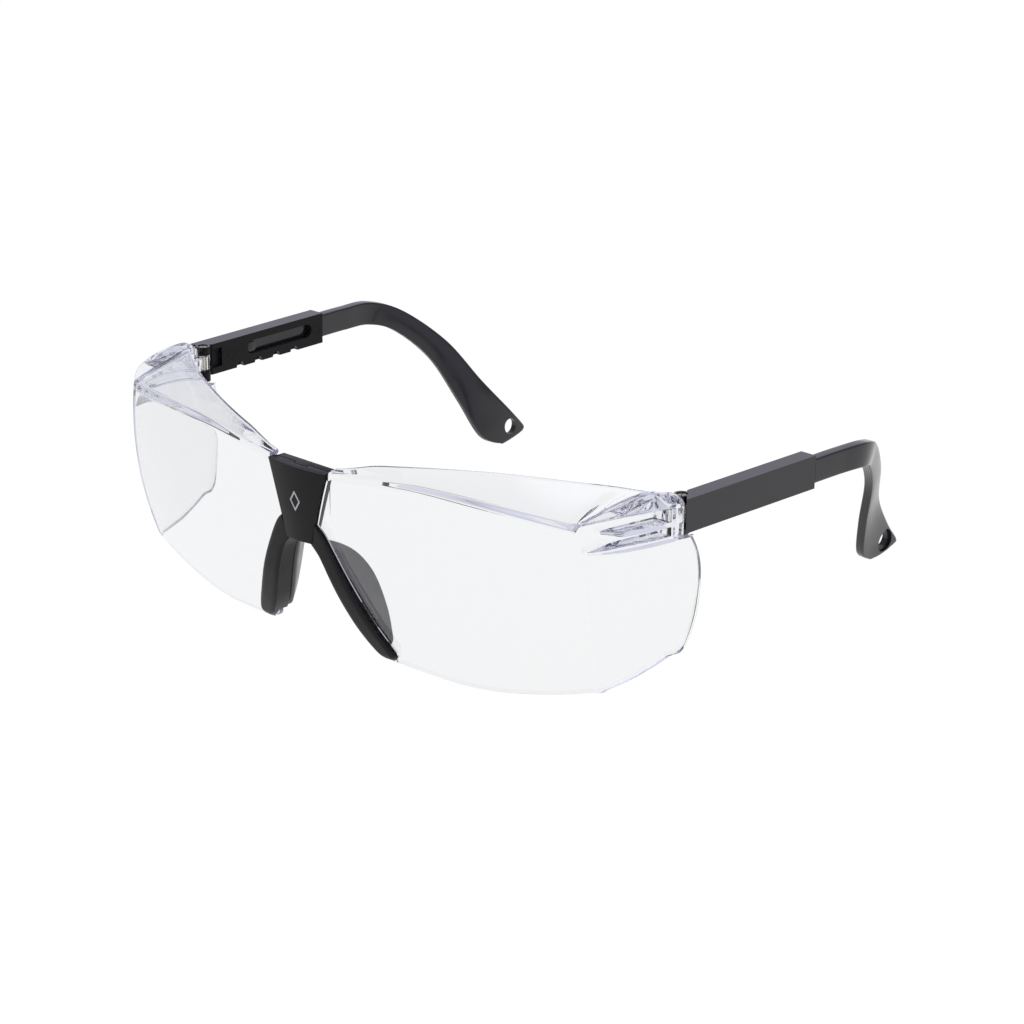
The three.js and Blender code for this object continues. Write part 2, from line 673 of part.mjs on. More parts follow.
const clearPlastic = finish(0xe9edf2, 0.05);
const satinBlack = finish(0x242426, 0.5);
const glossBlack = finish(0x18181a, 0.25);
const softGrey = finish(0x3a3a3d, 0.4);
const steel = finish(0xb9b4a8, 0.3, 1);

function named(name, geometry, material) {
  const mesh = new THREE.Mesh(geometry, material);
  mesh.name = name;
  return mesh;
}

const spectacles = new THREE.Group();
spectacles.rotation.x = -REST_PITCH;
spectacles.position.set(0, STANCE_Y, STANCE_Z);

spectacles.add(named("lens_shield", geometryOf(shield()), clearPlastic));
spectacles.add(named("bridge_cover", geometryOf(bridgeCover()), satinBlack));
spectacles.add(named("bridge_clip", geometryOf(bridgeClip()), satinBlack));
spectacles.add(named("nose_frame", geometryOf(noseFrame()), satinBlack));

const templeParts = {
  nose_pad: [nosePad(), softGrey],
  temple_sleeve: [sleeve(), glossBlack],
  temple_arm: [templeArm(), glossBlack],
  hinge_screw: [hingeScrew(), steel],
};

for (const [word, side] of [["left", 1], ["right", -1]]) {
  const half = new THREE.Group();
  half.scale.x = side;
  const temple = new THREE.Group();
  temple.position.x = HINGE_X;
  temple.rotation.z = -SPLAY;
  for (const [name, [solid, material]] of Object.entries(templeParts)) {
    const mesh = named(`${name}_${word}`, geometryOf(solid), material);
    (name === "nose_pad" ? half : temple).add(mesh);
  }
  half.add(temple);
  spectacles.add(half);
}

const group = new THREE.Group();
group.add(spectacles);

export default group;
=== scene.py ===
import json
import math

import bmesh
import bpy
from mathutils import Matrix, Vector


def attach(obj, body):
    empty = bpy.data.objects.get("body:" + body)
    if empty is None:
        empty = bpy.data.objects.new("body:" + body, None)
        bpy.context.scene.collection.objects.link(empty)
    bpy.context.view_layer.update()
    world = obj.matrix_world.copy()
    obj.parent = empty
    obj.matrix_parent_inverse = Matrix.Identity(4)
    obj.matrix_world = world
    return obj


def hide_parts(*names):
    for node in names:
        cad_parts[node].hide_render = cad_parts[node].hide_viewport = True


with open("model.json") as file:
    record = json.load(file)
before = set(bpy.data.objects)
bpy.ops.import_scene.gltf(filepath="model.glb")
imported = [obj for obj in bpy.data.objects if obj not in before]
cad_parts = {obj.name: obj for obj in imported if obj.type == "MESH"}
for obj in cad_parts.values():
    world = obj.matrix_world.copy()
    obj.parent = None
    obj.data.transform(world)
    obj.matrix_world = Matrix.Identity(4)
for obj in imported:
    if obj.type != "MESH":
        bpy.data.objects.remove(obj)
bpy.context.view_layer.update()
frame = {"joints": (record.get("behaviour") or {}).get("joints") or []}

# Clear sports protective goggles. Every piece is drawn in millimetres in the spectacle frame, whose
# x axis joins the two hinge screws and whose y axis runs back along the temples, or in the temple
# frame, which starts at the left hinge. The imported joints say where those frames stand.

MM = 0.001
MIRROR = Matrix.Scale(-1, 4, (1, 0, 0))

joints = {joint["name"]: joint for joint in frame["joints"]}
hinge_at = Vector(joints["left_temple_hinge"]["pos_m"])
hinge_up = Vector(joints["left_temple_hinge"]["axis"])
slide_along = Vector(joints["left_temple_length"]["axis"])

HINGE_X = hinge_at.x / MM
SPLAY = math.asin(slide_along.x)


def spectacle_frame():
    across = Vector((1, 0, 0))
    turn = Matrix((across, hinge_up.cross(across), hinge_up)).transposed().to_4x4()
    return Matrix.Translation((0, hinge_at.y, hinge_at.z)) @ turn @ Matrix.Scale(MM, 4)


SPECTACLE = spectacle_frame()
TEMPLE = SPECTACLE @ Matrix.Translation((HINGE_X, 0, 0)) @ Matrix.Rotation(-SPLAY, 4, "Z")

# ---- Driving dimensions, in millimetres -------------------------------------------------------

GAP = 0.3

# Shield
WALL = 2
FRONT_Y = -38
FRONT_PLAN_RADIUS = 186
FRONT_UPRIGHT_RADIUS = 88
FRONT_APEX_Z = -6
SIDE_X = 68.5
SIDE_SLOPE = 0.183
SIDE_REF_Y = -24.5
SIDE_UPRIGHT_RADIUS = 105
SIDE_APEX_Z = -19
CREASE_REACH = 1.4
CREASE_REACH_INSIDE = 0.4
CREASE_X = 67.3
BROW_ROUNDING = 0.45
BROW_REACH_X = 62
BROW_END_X = 69.3
BROW_REAR_Y = -35.7
BROW_REAR_SPREAD = 163
LEDGE_END_PLACE = 2.72
LEDGE_END_REACH = 0.4
LEDGE_END_THICKNESS = 0.9
LEDGE_FILLET = 0.5
SIDE_LEDGE_THICKNESS = 1.1
EDGE_ROUNDING = 0.35
REAR_ROUNDING = 0.6
NOSE_SPAN_X = 21
SIDE_FOOT_Z = -30

# Hinge lug
LUG_FRONT = -24.7
LUG_REAR = -2.1
LUG_REAR_X = 73.8
LUG_REAR_SLOPE = 1.75
LUG_REAR_ROUNDING = 0.4
LUG_FLOOR = -8.4
LUG_FLOOR_ROUNDING = 0.3
LUG_MIDDLE_Z = -4
LUG_LIP = 0.2
LUG_CHANNELS = [(-6.9, -5.05), (-3.95, -0.95)]
CHANNEL_REAR = -7
CHANNEL_DEPTH = 0.5
FLANGE_TIP_THICKNESS = 0.6
FLANGE_TIP_Y = -24.2
FLANGE_FULL_Y = -17
PLATE_THICKNESS = 0.35
RIB_FRONT = -21.5
RIB_FULL_Y = RIB_FRONT + 4
RIB_TIP = (-4.75, -4.25)

# Room for the sleeve's front end
ROOM_FRONT = -3
ROOM_FLOOR = -9.9
ROOM_ROUNDING = 0.8
NOTCH_FLOOR = -2.4

# Hinge
KNUCKLE_RADIUS = 1.7
KNUCKLE_TOP = -0.33
KNUCKLE_FLOOR = -8.6
TONGUE_TOP = -2.6
TONGUE_FLOOR = -5.75
TONGUE_RADIUS = 1.6
TONGUE_HALF_WIDTH = 1.1
TONGUE_FRONT = -2.6
SCREW_RADIUS = 0.6
SCREW_HEAD_RADIUS = 1.05

# Sleeve
SLEEVE_OUTER = 3.2
SLEEVE_INNER = -0.74
SLEEVE_TOP = KNUCKLE_TOP
SLEEVE_FLOOR = -7.6
SLEEVE_REAR = 38
SLEEVE_FRONT = -2.2
SLEEVE_FRONT_INSIDE = 2.3
SLOT_FRONT = 13.4
SLOT_REAR = 34.3
SLOT_HEIGHT = 3.2
SLOT_Z = -3.7
NOTCH_YS = [11.1 + 5.8 * i for i in range(4)]
NOTCH_RADIUS = 1.15
RING_YS = (8.2, 36)
RING_Z = -3.9
RING_RADIUS = 1.25
RING_CORE_RADIUS = 1.13
RING_DEPTH = 0.05

# ---- Curves -----------------------------------------------------------------------------------


def lerp(a, b, t):
    return a + (b - a) * t


def steps(n):
    return [i / n for i in range(n + 1)]


def smooth(low, high, value):
    t = min(max((value - low) / (high - low), 0), 1)
    return t * t * (3 - 2 * t)


def line_through(points):
    """A smooth line y(x) through a few points in order of x, flat beyond its ends."""
    last = len(points) - 1

    def slope(a, b):
        return (points[b][1] - points[a][1]) / (points[b][0] - points[a][0])

    slopes = [slope(max(i - 1, 0), min(i + 1, last)) for i in range(last + 1)]

    def at(x):
        if x <= points[0][0]:
            return points[0][1]
        if x >= points[last][0]:
            return points[last][1]
        i = next(k for k in range(last) if x < points[k + 1][0])
        span = points[i + 1][0] - points[i][0]
        t = (x - points[i][0]) / span
        rise = points[i + 1][1] - points[i][1]
        a = slopes[i] * span - rise
        b = rise - slopes[i + 1] * span
        return points[i][1] + t * rise + t * (1 - t) * (a * (1 - t) + b * t)

    return at


def curve_through(points, t):
    """The point at t, from 0 to 1, of a smooth curve that passes all the points evenly."""
    last = len(points) - 1
    place = min(max(t, 0), 1) * last
    i = min(int(place), last - 1)
    u = place - i
    p1, p2 = points[i], points[i + 1]
    p0 = points[i - 1] if i > 0 else 2 * p1 - p2
    p3 = points[i + 2] if i + 2 <= last else 2 * p2 - p1
    return 0.5 * (
        2 * p1
        + (p2 - p0) * u
        + (2 * p0 - 5 * p1 + 4 * p2 - p3) * u ** 2
        + (3 * p1 - p0 - 3 * p2 + p3) * u ** 3
    )


def bend(start, corner, end, t):
    """A point on the rounding from start to end that is drawn towards the corner."""
    return start * (1 - t) ** 2 + corner * 2 * t * (1 - t) + end * t ** 2


def rounded(corners, radii):
    """A closed outline with a rounding at each corner, or none where its radius is 0."""
    points = []
    for i, radius in enumerate(radii):
        corner = Vector(corners[i])
        if radius == 0:
            points.append(corner)
            continue
        before = Vector(corners[i - 1]) - corner
        after = Vector(corners[(i + 1) % len(corners)]) - corner
        start = corner + before.normalized() * radius
        end = corner + after.normalized() * radius
        points += [bend(start, corner, end, t) for t in steps(4)]
    return points


def arc(centre, radius, start, end, parts=24):
    """Points on an arc, with its angles in degrees."""
    angles = [math.radians(lerp(start, end, t)) for t in steps(parts)]
    return [(centre[0] + radius * math.cos(a), centre[1] + radius * math.sin(a)) for a in angles]


# ---- Meshes -----------------------------------------------------------------------------------


def mesh_object(name, points, faces):
    mesh = bpy.data.meshes.new(name)
    mesh.from_pydata([tuple(p) for p in points], [], faces)
    bm = bmesh.new()
    bm.from_mesh(mesh)
    bmesh.ops.recalc_face_normals(bm, faces=bm.faces)
    bm.to_mesh(mesh)
    bm.free()
    obj = bpy.data.objects.new(name, mesh)
    bpy.context.scene.collection.objects.link(obj)
    return obj


def loft(name, rings):
    """A closed solid through rings of equal length, with a flat face at each end."""
    n = len(rings[0])
    points = [p for ring in rings for p in ring]
    faces = []
    for r in range(len(rings) - 1):
        for k in range(n):
            a, b = r * n + k, r * n + (k + 1) % n
            faces.append((a, b, b + n, a + n))
    faces.append(tuple(range(n)))
    faces.append(tuple(range((len(rings) - 1) * n, len(rings) * n)))
    return mesh_object(name, points, faces)


AXES = {
    "x": lambda a, b, c: (c, a, b),
    "y": lambda a, b, c: (a, c, b),
    "z": lambda a, b, c: (a, b, c),
}


def prism(outline, axis, low, high):
    """An outline of pairs, drawn out along an axis: along x the pairs are (y, z), and so on."""
    place = AXES[axis]
    return loft("prism", [[place(a, b, c) for a, b in outline] for c in (low, high)])


def block(x0, x1, y0, y1, z0, z1):
    return prism([(x0, y0), (x1, y0), (x1, y1), (x0, y1)], "z", z0, z1)


def round_bar(centre, radius, axis, low, high, sides=48):
    return prism(arc(centre, radius, 0, 360 - 360 / sides, sides - 1), axis, low, high)


def settle(obj):
    """Makes the modifiers' result the object's own mesh."""
    graph = bpy.context.evaluated_depsgraph_get()
    mesh = bpy.data.meshes.new_from_object(obj.evaluated_get(graph))
    obj.modifiers.clear()
    obj.data = mesh
    return obj


def combine(obj, tool, operation):
    """Joins a tool to an object or cuts it out, and uses the tool up."""
    modifier = obj.modifiers.new("combine", "BOOLEAN")
    modifier.operation = operation
    modifier.solver = "EXACT"
    modifier.object = tool
    settle(obj)
    bpy.data.objects.remove(tool)


def cut(obj, *tools):
    for tool in tools:
        combine(obj, tool, "DIFFERENCE")
    return obj


def join(obj, *tools):
    for tool in tools:
        combine(obj, tool, "UNION")
    return obj


def mirrored(obj):
    """A copy of a tool on the other side of the nose."""
    copy = obj.copy()
    copy.data = obj.data.copy()
    copy.data.transform(MIRROR)
    copy.data.flip_normals()
    bpy.context.scene.collection.objects.link(copy)
    return copy


def both(obj):
    return obj, mirrored(obj)


def cleaned(obj, angle=1.0):
    """Merges points that coincide and flat faces that touch."""
    bm = bmesh.new()
    bm.from_mesh(obj.data)
    bmesh.ops.remove_doubles(bm, verts=bm.verts, dist=0.004)
    bmesh.ops.dissolve_limit(
        bm, angle_limit=math.radians(angle), verts=bm.verts, edges=bm.edges
    )
    bm.to_mesh(obj.data)
    bm.free()
    return obj


def eased(obj, width, parts=3, angle=34):
    """Rounds the sharp edges."""
    modifier = obj.modifiers.new("ease", "BEVEL")
    modifier.width = width
    modifier.segments = parts
    modifier.limit_method = "ANGLE"
    modifier.angle_limit = math.radians(angle)
    modifier.miter_outer = "MITER_ARC"
    modifier.use_clamp_overlap = True
    return settle(obj)


def placed(obj, name, where, material, body, nodes, angle=30):
    """Puts a finished piece into the shared frame and says what it stands for."""
    obj.name = name
    obj.data.name = name
    obj.data.transform(where)
    if where.determinant() < 0:
        obj.data.flip_normals()
    obj.data.shade_smooth()
    obj.data.set_sharp_from_angle(angle=math.radians(angle))
    obj.data.materials.clear()
    obj.data.materials.append(material)
    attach(obj, body)
    if nodes:
        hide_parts(*nodes)
    return obj


def weighted(obj):
    """Keeps flat faces flat beside their rounded edges."""
    modifier = obj.modifiers.new("weighted", "WEIGHTED_NORMAL")
    modifier.keep_sharp = True
    modifier.weight = 80
    return obj


# ---- Shield -----------------------------------------------------------------------------------


def fall(radius, distance):
    """How far a circle falls away from its apex, at a distance from it."""
    return radius - math.sqrt(radius ** 2 - distance ** 2)


def front_y(x, z):
    return FRONT_Y + fall(FRONT_PLAN_RADIUS, x) + fall(FRONT_UPRIGHT_RADIUS, z - FRONT_APEX_Z)


def side_x(y, z):
    return SIDE_X + SIDE_SLOPE * (y - SIDE_REF_Y) - fall(SIDE_UPRIGHT_RADIUS, z - SIDE_APEX_Z)


# Heights of the front's edges by x and of the side's by y, and the rear edge's y by height.
top_edge = line_through([(0, -2.6), (9, -2.1), (20, -0.9), (33, 0.1), (50, -0.5), (67.3, -1.9)])
bottom_edge = line_through([
    (0, -12.7), (2.5, -13), (4, -15), (5, -17.3), (6.8, -21.7), (9.2, -26.6), (11.9, -32.6),
    (14.3, -37.7), (16.4, -41.8), (18.2, -43.6), (21, -44), (30, -44.7), (38, -45.1), (48, -44.3),
    (60, -41.9), (67.3, -39.8),
])
side_bottom_edge = line_through([(-22, -39.8), (-10.8, -38.4), (-4.7, -37), (1, -35.3)])
rear_edge = line_through([
    (-35.3, 1), (-34.3, 2.3), (-30.9, 3.6), (-26.4, 4.5), (-20, 4.9), (-15, 4.6), (-11, 3.4),
    (-9, 2.2),
])
side_top = line_through([(-25, -1.9), (-21, -1.15), (-17.5, -0.4), (-13.5, 0.4), (-8, 0.9), (-3, 0.6)])
brow_rear_z = line_through([(0, -2.1), (9, -1.7), (20, 1.1), (42, 3.1), (62, 2.1), (71.3, 0.6)])


def brow_rear_y(x):
    return BROW_REAR_Y + x ** 2 / BROW_REAR_SPREAD


def crease_at(z, inset):
    """Where the two faces meet at one height, and where the rounding there starts and ends."""
    reach = CREASE_REACH_INSIDE if inset > WALL / 2 else CREASE_REACH
    x = SIDE_X
    for _ in range(12):
        x = side_x(front_y(x, z) + inset, z) - inset
    y = front_y(x, z) + inset
    start = Vector((x - reach, front_y(x - reach, z) + inset, z))
    end = Vector((side_x(y + reach, z) - inset, y + reach, z))
    return start, Vector((x, y, z)), end


def wall_point(place, z, inset, ahead=0.0):
    """A point of the wall. Place runs from 0 to 1 over the front face, from 1 to 2 round the
    crease and from 2 to 3 along the side face. Ahead stops it short of the rear edge."""
    start, corner, end = crease_at(z, inset)
    if place <= 1:
        x = place * start.x
        return Vector((x, front_y(x, z) + inset, z))
    if place < 2:
        return bend(start, corner, end, place - 1)
    y = lerp(end.y, rear_edge(z) - ahead, place - 2)
    return Vector((side_x(y, z) - inset, y, z))


def wall_face(place, start_z, end_z, inset, ahead):
    return [wall_point(place, lerp(start_z, end_z, t), inset, ahead) for t in steps(30)]


def ledge_end(place, z):
    """Where the brow ledge ends. Toward the rear edge it shrinks to the wall."""
    if place >= LEDGE_END_PLACE:
        inside = wall_point(place, z, WALL)
        return Vector((inside.x - LEDGE_END_REACH, inside.y, z))
    if place <= 1:
        x = place * BROW_REACH_X
    else:
        x = lerp(BROW_REACH_X, BROW_END_X, (place - 1) / (LEDGE_END_PLACE - 1))
    return Vector((x, brow_rear_y(x), brow_rear_z(x)))


def shield_ring(place, skin=0.0, ahead=0.0):
    """The cross-section of wall and ledge at one place. Skin thins it, to round the rear edge."""
    if place <= 2:
        nominal_x = min(place, 1) * CREASE_X
        bottom, top = bottom_edge(nominal_x), top_edge(nominal_x)
    else:
        bottom = side_bottom_edge(wall_point(place, SIDE_FOOT_Z, 0).y)
        top = side_top(wall_point(place, 0, 0).y)
    bottom += skin
    top -= skin
    outer, inner = skin, WALL - skin
    sideward = smooth(1, 1.7, place)
    under_z = top - lerp(WALL, SIDE_LEDGE_THICKNESS, sideward)

    # The outer face, the brow's corner and the top of the ledge.
    end = ledge_end(place, top)
    brow = wall_point(place, top, outer, ahead)
    away = end - brow
    rounding = lerp(BROW_ROUNDING, EDGE_ROUNDING, sideward)
    on_ledge = brow + away * min(rounding / away.length, 0.45)
    lip = away.normalized() * EDGE_ROUNDING
    points = wall_face(place, bottom + EDGE_ROUNDING, top - rounding, outer, ahead)
    shoulder = points[-1].copy()
    points += [bend(shoulder, brow, on_ledge, t) for t in steps(8)[1:]]
    points += [lerp(on_ledge, end - lip, t) for t in steps(12)[1:]]

    # The end of the ledge, its underside and the fillet to the inner face.
    drop = Vector((0, 0, -EDGE_ROUNDING))
    end_under = end + Vector((0, 0, 2 * skin - LEDGE_END_THICKNESS))
    under = wall_point(place, under_z + skin, inner, ahead)
    fillet = min(LEDGE_FILLET, (under - end_under).length * 0.4)
    fillet_start = under + (end_under - under).normalized() * fillet
    wall_top = wall_point(place, under_z - LEDGE_FILLET, inner, ahead)
    points += [bend(end - lip, end, end + drop, t) for t in steps(4)[1:]]
    points += [bend(end_under - drop, end_under, end_under - lip, t) for t in steps(4)]
    points += [lerp(end_under - lip, fillet_start, t) for t in steps(12)[1:]]
    points += [bend(fillet_start, under, wall_top, t) for t in steps(6)[1:]]

    # The inner face and the rounded bottom edge.
    points += wall_face(place, wall_top.z, bottom + EDGE_ROUNDING, inner, ahead)[1:]
    middle = (outer + inner) / 2
    corner_in = wall_point(place, bottom, inner, ahead)
    corner_out = wall_point(place, bottom, outer, ahead)
    flat_in = wall_point(place, bottom, max(inner - EDGE_ROUNDING, middle + 0.01), ahead)
    flat_out = wall_point(place, bottom, min(outer + EDGE_ROUNDING, middle - 0.01), ahead)
    points += [bend(points[-1].copy(), corner_in, flat_in, t) for t in steps(4)[1:]]
    points += [bend(flat_out, corner_out, points[0], t) for t in steps(4)[:-1]]
    return points


def shield_shell():
    """The moulding without its hinges, with finer steps where its foot rises over the nose."""
    nose = NOSE_SPAN_X / CREASE_X
    places = [t * nose for t in steps(48)]
    places += [lerp(nose, 1, t) for t in steps(26)[1:]]
    places += [1 + t for t in steps(8)[1:]]
    places += [2 + t for t in steps(26)[1:]]
    half = [shield_ring(place) for place in places[:-1]]
    for t in steps(5):
        angle = t * math.pi / 2
        skin = REAR_ROUNDING * (1 - math.cos(angle))
        half.append(shield_ring(3, skin, REAR_ROUNDING * (1 - math.sin(angle))))
    other = [[Vector((-p.x, p.y, p.z)) for p in ring] for ring in half[1:]]
    return loft("lens", other[::-1] + half)


# The lug's lines by y: its outer edge, the ridge and inner foot of its dome, and its inner side.
lug_outer = line_through([
    (-24.7, 66.6), (-24.3, 67.3), (-23.9, 68), (-21, 70.5), (-19.3, 71.5), (-17.5, 72.4),
    (-14.5, 73.4), (-11, 74.35), (-7.2, 75), (-5, 75.2), (-2, 75.2),
])
lug_edge_z = line_through([
    (-24.7, -2.4), (-24, -1.85), (-21, -1.05), (-19.3, -0.8), (-17.5, -0.6), (-11, -0.6),
    (-7.2, -0.7), (-2.6, -0.95),
])
ridge_x = line_through([
    (-25, 66.4), (-23.9, 67.8), (-21, 70.3), (-19.3, 71.3), (-17.5, 72.2), (-15.4, 72.1),
    (-11.6, 72.2), (-8.1, 72.3), (-4.5, 73), (-2, 72.8),
])
ridge_z = line_through([
    (-24.7, -2.38), (-24, -1.83), (-21, -1.02), (-19.3, -0.77), (-17.6, -0.55), (-16.9, -0.1),
    (-15.4, 0.4), (-13.7, 0.8), (-11.6, 1.12), (-8.1, 1.45), (-6.4, 1.45), (-4.5, 1.2),
    (-3.2, 0.6), (-2.1, -0.3),
])
dome_foot_x = line_through([
    (-25, 66), (-23.9, 67.4), (-21, 69.9), (-19.3, 70.9), (-17.5, 71.8), (-15.4, 70.9), (-13.7, 70.1),
    (-11.6, 69.3), (-9, 68.6), (-6.4, 69), (-5, 70.4), (-4.3, 71.05), (-2.1, 71.35),
])
dome_foot_z = line_through([
    (-24.7, -2.36), (-24, -1.82), (-21, -1), (-17.5, -0.5), (-13.5, 0.2), (-8, 0.85), (-4.3, 0.6),
    (-2.1, -0.6),
])
lug_inner_x = line_through([
    (-25, 65), (-17.5, 67.6), (-9, 67.6), (-6.4, 68.4), (-5, 70.3), (-4.3, 71), (-2.1, 71.3),
])


def lug_corner(y, x, z, before, after):
    """A rounded corner of a section of the lug. It starts and ends as far back as is given."""
    start = Vector((x - before[0], y, z - before[1]))
    end = Vector((x - after[0], y, z - after[1]))
    return [bend(start, Vector((x, y, z)), end, t) for t in steps(3)]


def lug_channels(y, outer):
    """The outer face from the flange up, with its two channels and the rib between them."""
    open_part = 1 - smooth(CHANNEL_REAR - 0.1, CHANNEL_REAR + 0.3, y)
    lip = LUG_LIP * open_part
    risen = smooth(RIB_FRONT, RIB_FULL_Y, y)
    (low_floor, low_top), (high_floor, high_top) = LUG_CHANNELS
    thick = smooth(FLANGE_TIP_Y, FLANGE_FULL_Y, y)
    low_floor = lerp(LUG_FLOOR + FLANGE_TIP_THICKNESS, low_floor, thick)
    low_top = lerp(RIB_TIP[0], low_top, risen)
    high_floor = lerp(RIB_TIP[1], high_floor, risen)
    high_top = min(high_top, lug_edge_z(y) - PLATE_THICKNESS)

    def channel_floor(z):
        recessed = min(side_x(y, z) - CHANNEL_DEPTH, outer)
        return Vector((lerp(outer, recessed, open_part), y, z))

    rib = lerp(channel_floor(high_floor).x, outer, risen)
    points = lug_corner(y, outer, low_floor, (0, 0.01 + lip), (lip, 0))
    points += [channel_floor(low_floor), channel_floor(low_top)]
    points += lug_corner(y, rib, low_top, (lip, 0), (0, -lip))
    points += lug_corner(y, rib, high_floor, (0, lip), (lip, 0))
    points += [channel_floor(high_floor), channel_floor(high_top)]
    points += lug_corner(y, outer, high_top, (lip, 0), (0, -0.01 - lip / 2))
    return points


def lug_top(y, outer, skin):
    """The crowned top, from the outer edge over the dome to the ledge."""
    edge = Vector((outer, y, lug_edge_z(y) - skin))
    ridge = Vector((min(ridge_x(y), outer - 0.1), y, ridge_z(y) - skin))
    dome_foot = Vector((dome_foot_x(y) + skin, y, dome_foot_z(y) - skin))
    inner = Vector((lug_inner_x(y) + skin, y, dome_foot_z(y) - skin - 0.15))
    shoulder = Vector((lerp(edge.x, ridge.x, 0.32), y, lerp(edge.z, ridge.z, 0.88)))
    brow = Vector((lerp(ridge.x, dome_foot.x, 0.55), y, ridge.z))
    points = [bend(edge, shoulder, ridge, t) for t in steps(8)]
    points += [bend(ridge, brow, dome_foot, t) for t in steps(6)[1:]]
    points += [lerp(dome_foot, inner, t) for t in steps(3)[1:]]
    return points


def lug_ring(y, skin=0.0):
    """A section of the hinge lug: a flat floor, channels in the outer face, and a crowned top."""
    rear_slant = LUG_REAR_X + (LUG_REAR - y) * LUG_REAR_SLOPE
    outer = min(lug_outer(y), rear_slant) - skin
    floor = LUG_FLOOR + skin
    rounding = LUG_FLOOR_ROUNDING
    foot = Vector((min(side_x(y, LUG_MIDDLE_Z) - WALL / 2, outer - 0.5), y, floor))
    points = [lerp(foot, Vector((outer - rounding, y, floor)), t) for t in steps(3)]
    points += lug_corner(y, outer, floor, (rounding, 0), (0, -rounding))[1:]
    points += lug_channels(y, outer)
    points += lug_top(y, outer, skin)
    points += [lerp(points[-1].copy(), foot, t) for t in steps(5)[1:-1]]
    return points


def hinge_lug():
    """The whole lug, with finer steps at its front and where the channels end."""
    rear_start = LUG_REAR - LUG_REAR_ROUNDING
    stretches = [(LUG_FRONT, -16.8, 34), (-16.8, -7.2, 20), (-7.2, -6.6, 6), (-6.6, rear_start, 14)]
    ys = [LUG_FRONT]
    for start, end, count in stretches:
        ys += [lerp(start, end, t) for t in steps(count)[1:]]
    rings = [lug_ring(y) for y in ys]
    for t in steps(5)[1:]:
        angle = t * math.pi / 2
        y = LUG_REAR - LUG_REAR_ROUNDING * (1 - math.sin(angle))
        rings.append(lug_ring(y, LUG_REAR_ROUNDING * (1 - math.cos(angle))))
    return loft("lug", rings)


def hinge_tongue():
    left, right = HINGE_X - TONGUE_HALF_WIDTH, HINGE_X + TONGUE_HALF_WIDTH
    web = block(left, right, TONGUE_FRONT, 0, TONGUE_FLOOR, TONGUE_TOP)
    post = round_bar((HINGE_X, 0), TONGUE_RADIUS, "z", TONGUE_FLOOR, TONGUE_TOP)
    return eased(cleaned(join(web, post)), width=0.2, parts=2)


def hinge_room():
    """The room for the sleeve's front end, open to the rear, the top and the side."""
    outline = [(ROOM_FRONT, ROOM_FLOOR), (12, ROOM_FLOOR), (12, 8), (ROOM_FRONT, 8)]
    return prism(rounded(outline, [ROOM_ROUNDING, 0, 0, 0]), "x", 62, 84)


def hinge_notch():
    """The room behind the ledge's end, where the sleeve's top swings in."""
    plan = [(60, -5.9), (68.9, -5.9), (70.4, -4.9), (71.2, -3.6), (71.3, 8), (60, 8)]
    return prism(plan, "z", NOTCH_FLOOR, 4)


def shield():
    lens = shield_shell()
    cut(lens, *both(hinge_room()), *both(hinge_notch()))
    join(lens, *both(hinge_lug()))
    join(lens, *both(hinge_tongue()))
    bore = round_bar((HINGE_X, 0), SCREW_RADIUS + GAP, "z", TONGUE_FLOOR - 1, TONGUE_TOP + 1, 32)
    cut(lens, *both(bore))
    seat = block(-8.2, 8.2, PARTING, -35.6, -12.4, -4.5)
    room_above = block(-8.8, 8.8, -42, -30, -4, 6)
    room_behind = block(-8.8, 8.8, -35.55, -30, -13, -2)
    join(lens, seat)
    cut(lens, room_above, room_behind, cover_envelope(GAP))
    cut(lens, *both(nose_strip(GAP)), *both(nose_web(GAP)), nose_hub(GAP))
    return lens


# ---- Bridge -----------------------------------------------------------------------------------

BRIDGE_TOP_HALF_WIDTH = 8.5
BRIDGE_FOOT_HALF_WIDTH = 3.7
BRIDGE_TOP = -2.6
BRIDGE_FOOT = -19.1
COVER_FRONT = -38.5
COVER_FOOT_FRONT = -37.9
COVER_BACK = -37.25
COVER_CROWN = 1
PARTING = -36.6
CLIP_FRONT = -35.25
CLIP_BACK = -34.4
CLIP_FOOT = -18
BRIDGE_WALL = 1
TAB_HALF_WIDTH = 2
TAB_REACH = 0.8
SEAM = 0.14
MARK_Z = -10.2
MARK_HALF_HEIGHT = 2.3
MARK_HALF_WIDTH = 1.5
MARK_BAND = 0.42
MARK_HEIGHT = 0.02
MARK_DEPTH = 0.05


def down_bridge(z):
    """How far down the bridge a height lies: 0 at its top and 1 at its foot."""
    return (BRIDGE_TOP - z) / (BRIDGE_TOP - BRIDGE_FOOT)


def bridge_half_width(z):
    return lerp(BRIDGE_TOP_HALF_WIDTH, BRIDGE_FOOT_HALF_WIDTH, down_bridge(z))


def bridge_slab(margin, crown, front, foot_front, back, top, foot, heights=8):
    """A tapered slab as wide as the bridge plus a margin, crowned in front and flat behind."""
    rings = []
    for t in steps(heights):
        z = lerp(top, foot, t)
        half_width = bridge_half_width(z) + margin
        corner = lerp(front, foot_front, t)
        bulge = crown * half_width / BRIDGE_TOP_HALF_WIDTH
        across = [lerp(-1, 1, u) for u in steps(20)]
        ring = [(u * half_width, corner - bulge * (1 - u * u), z) for u in across]
        ring += [(half_width, back, z), (-half_width, back, z)]
        rings.append(ring)
    return loft("bridge", rings)


def cover_envelope(play):
    """The space of the cover with some play, open to the front and the top."""
    return bridge_slab(play, 0, -44, -44, COVER_BACK + play, 3, BRIDGE_FOOT - play, heights=1)


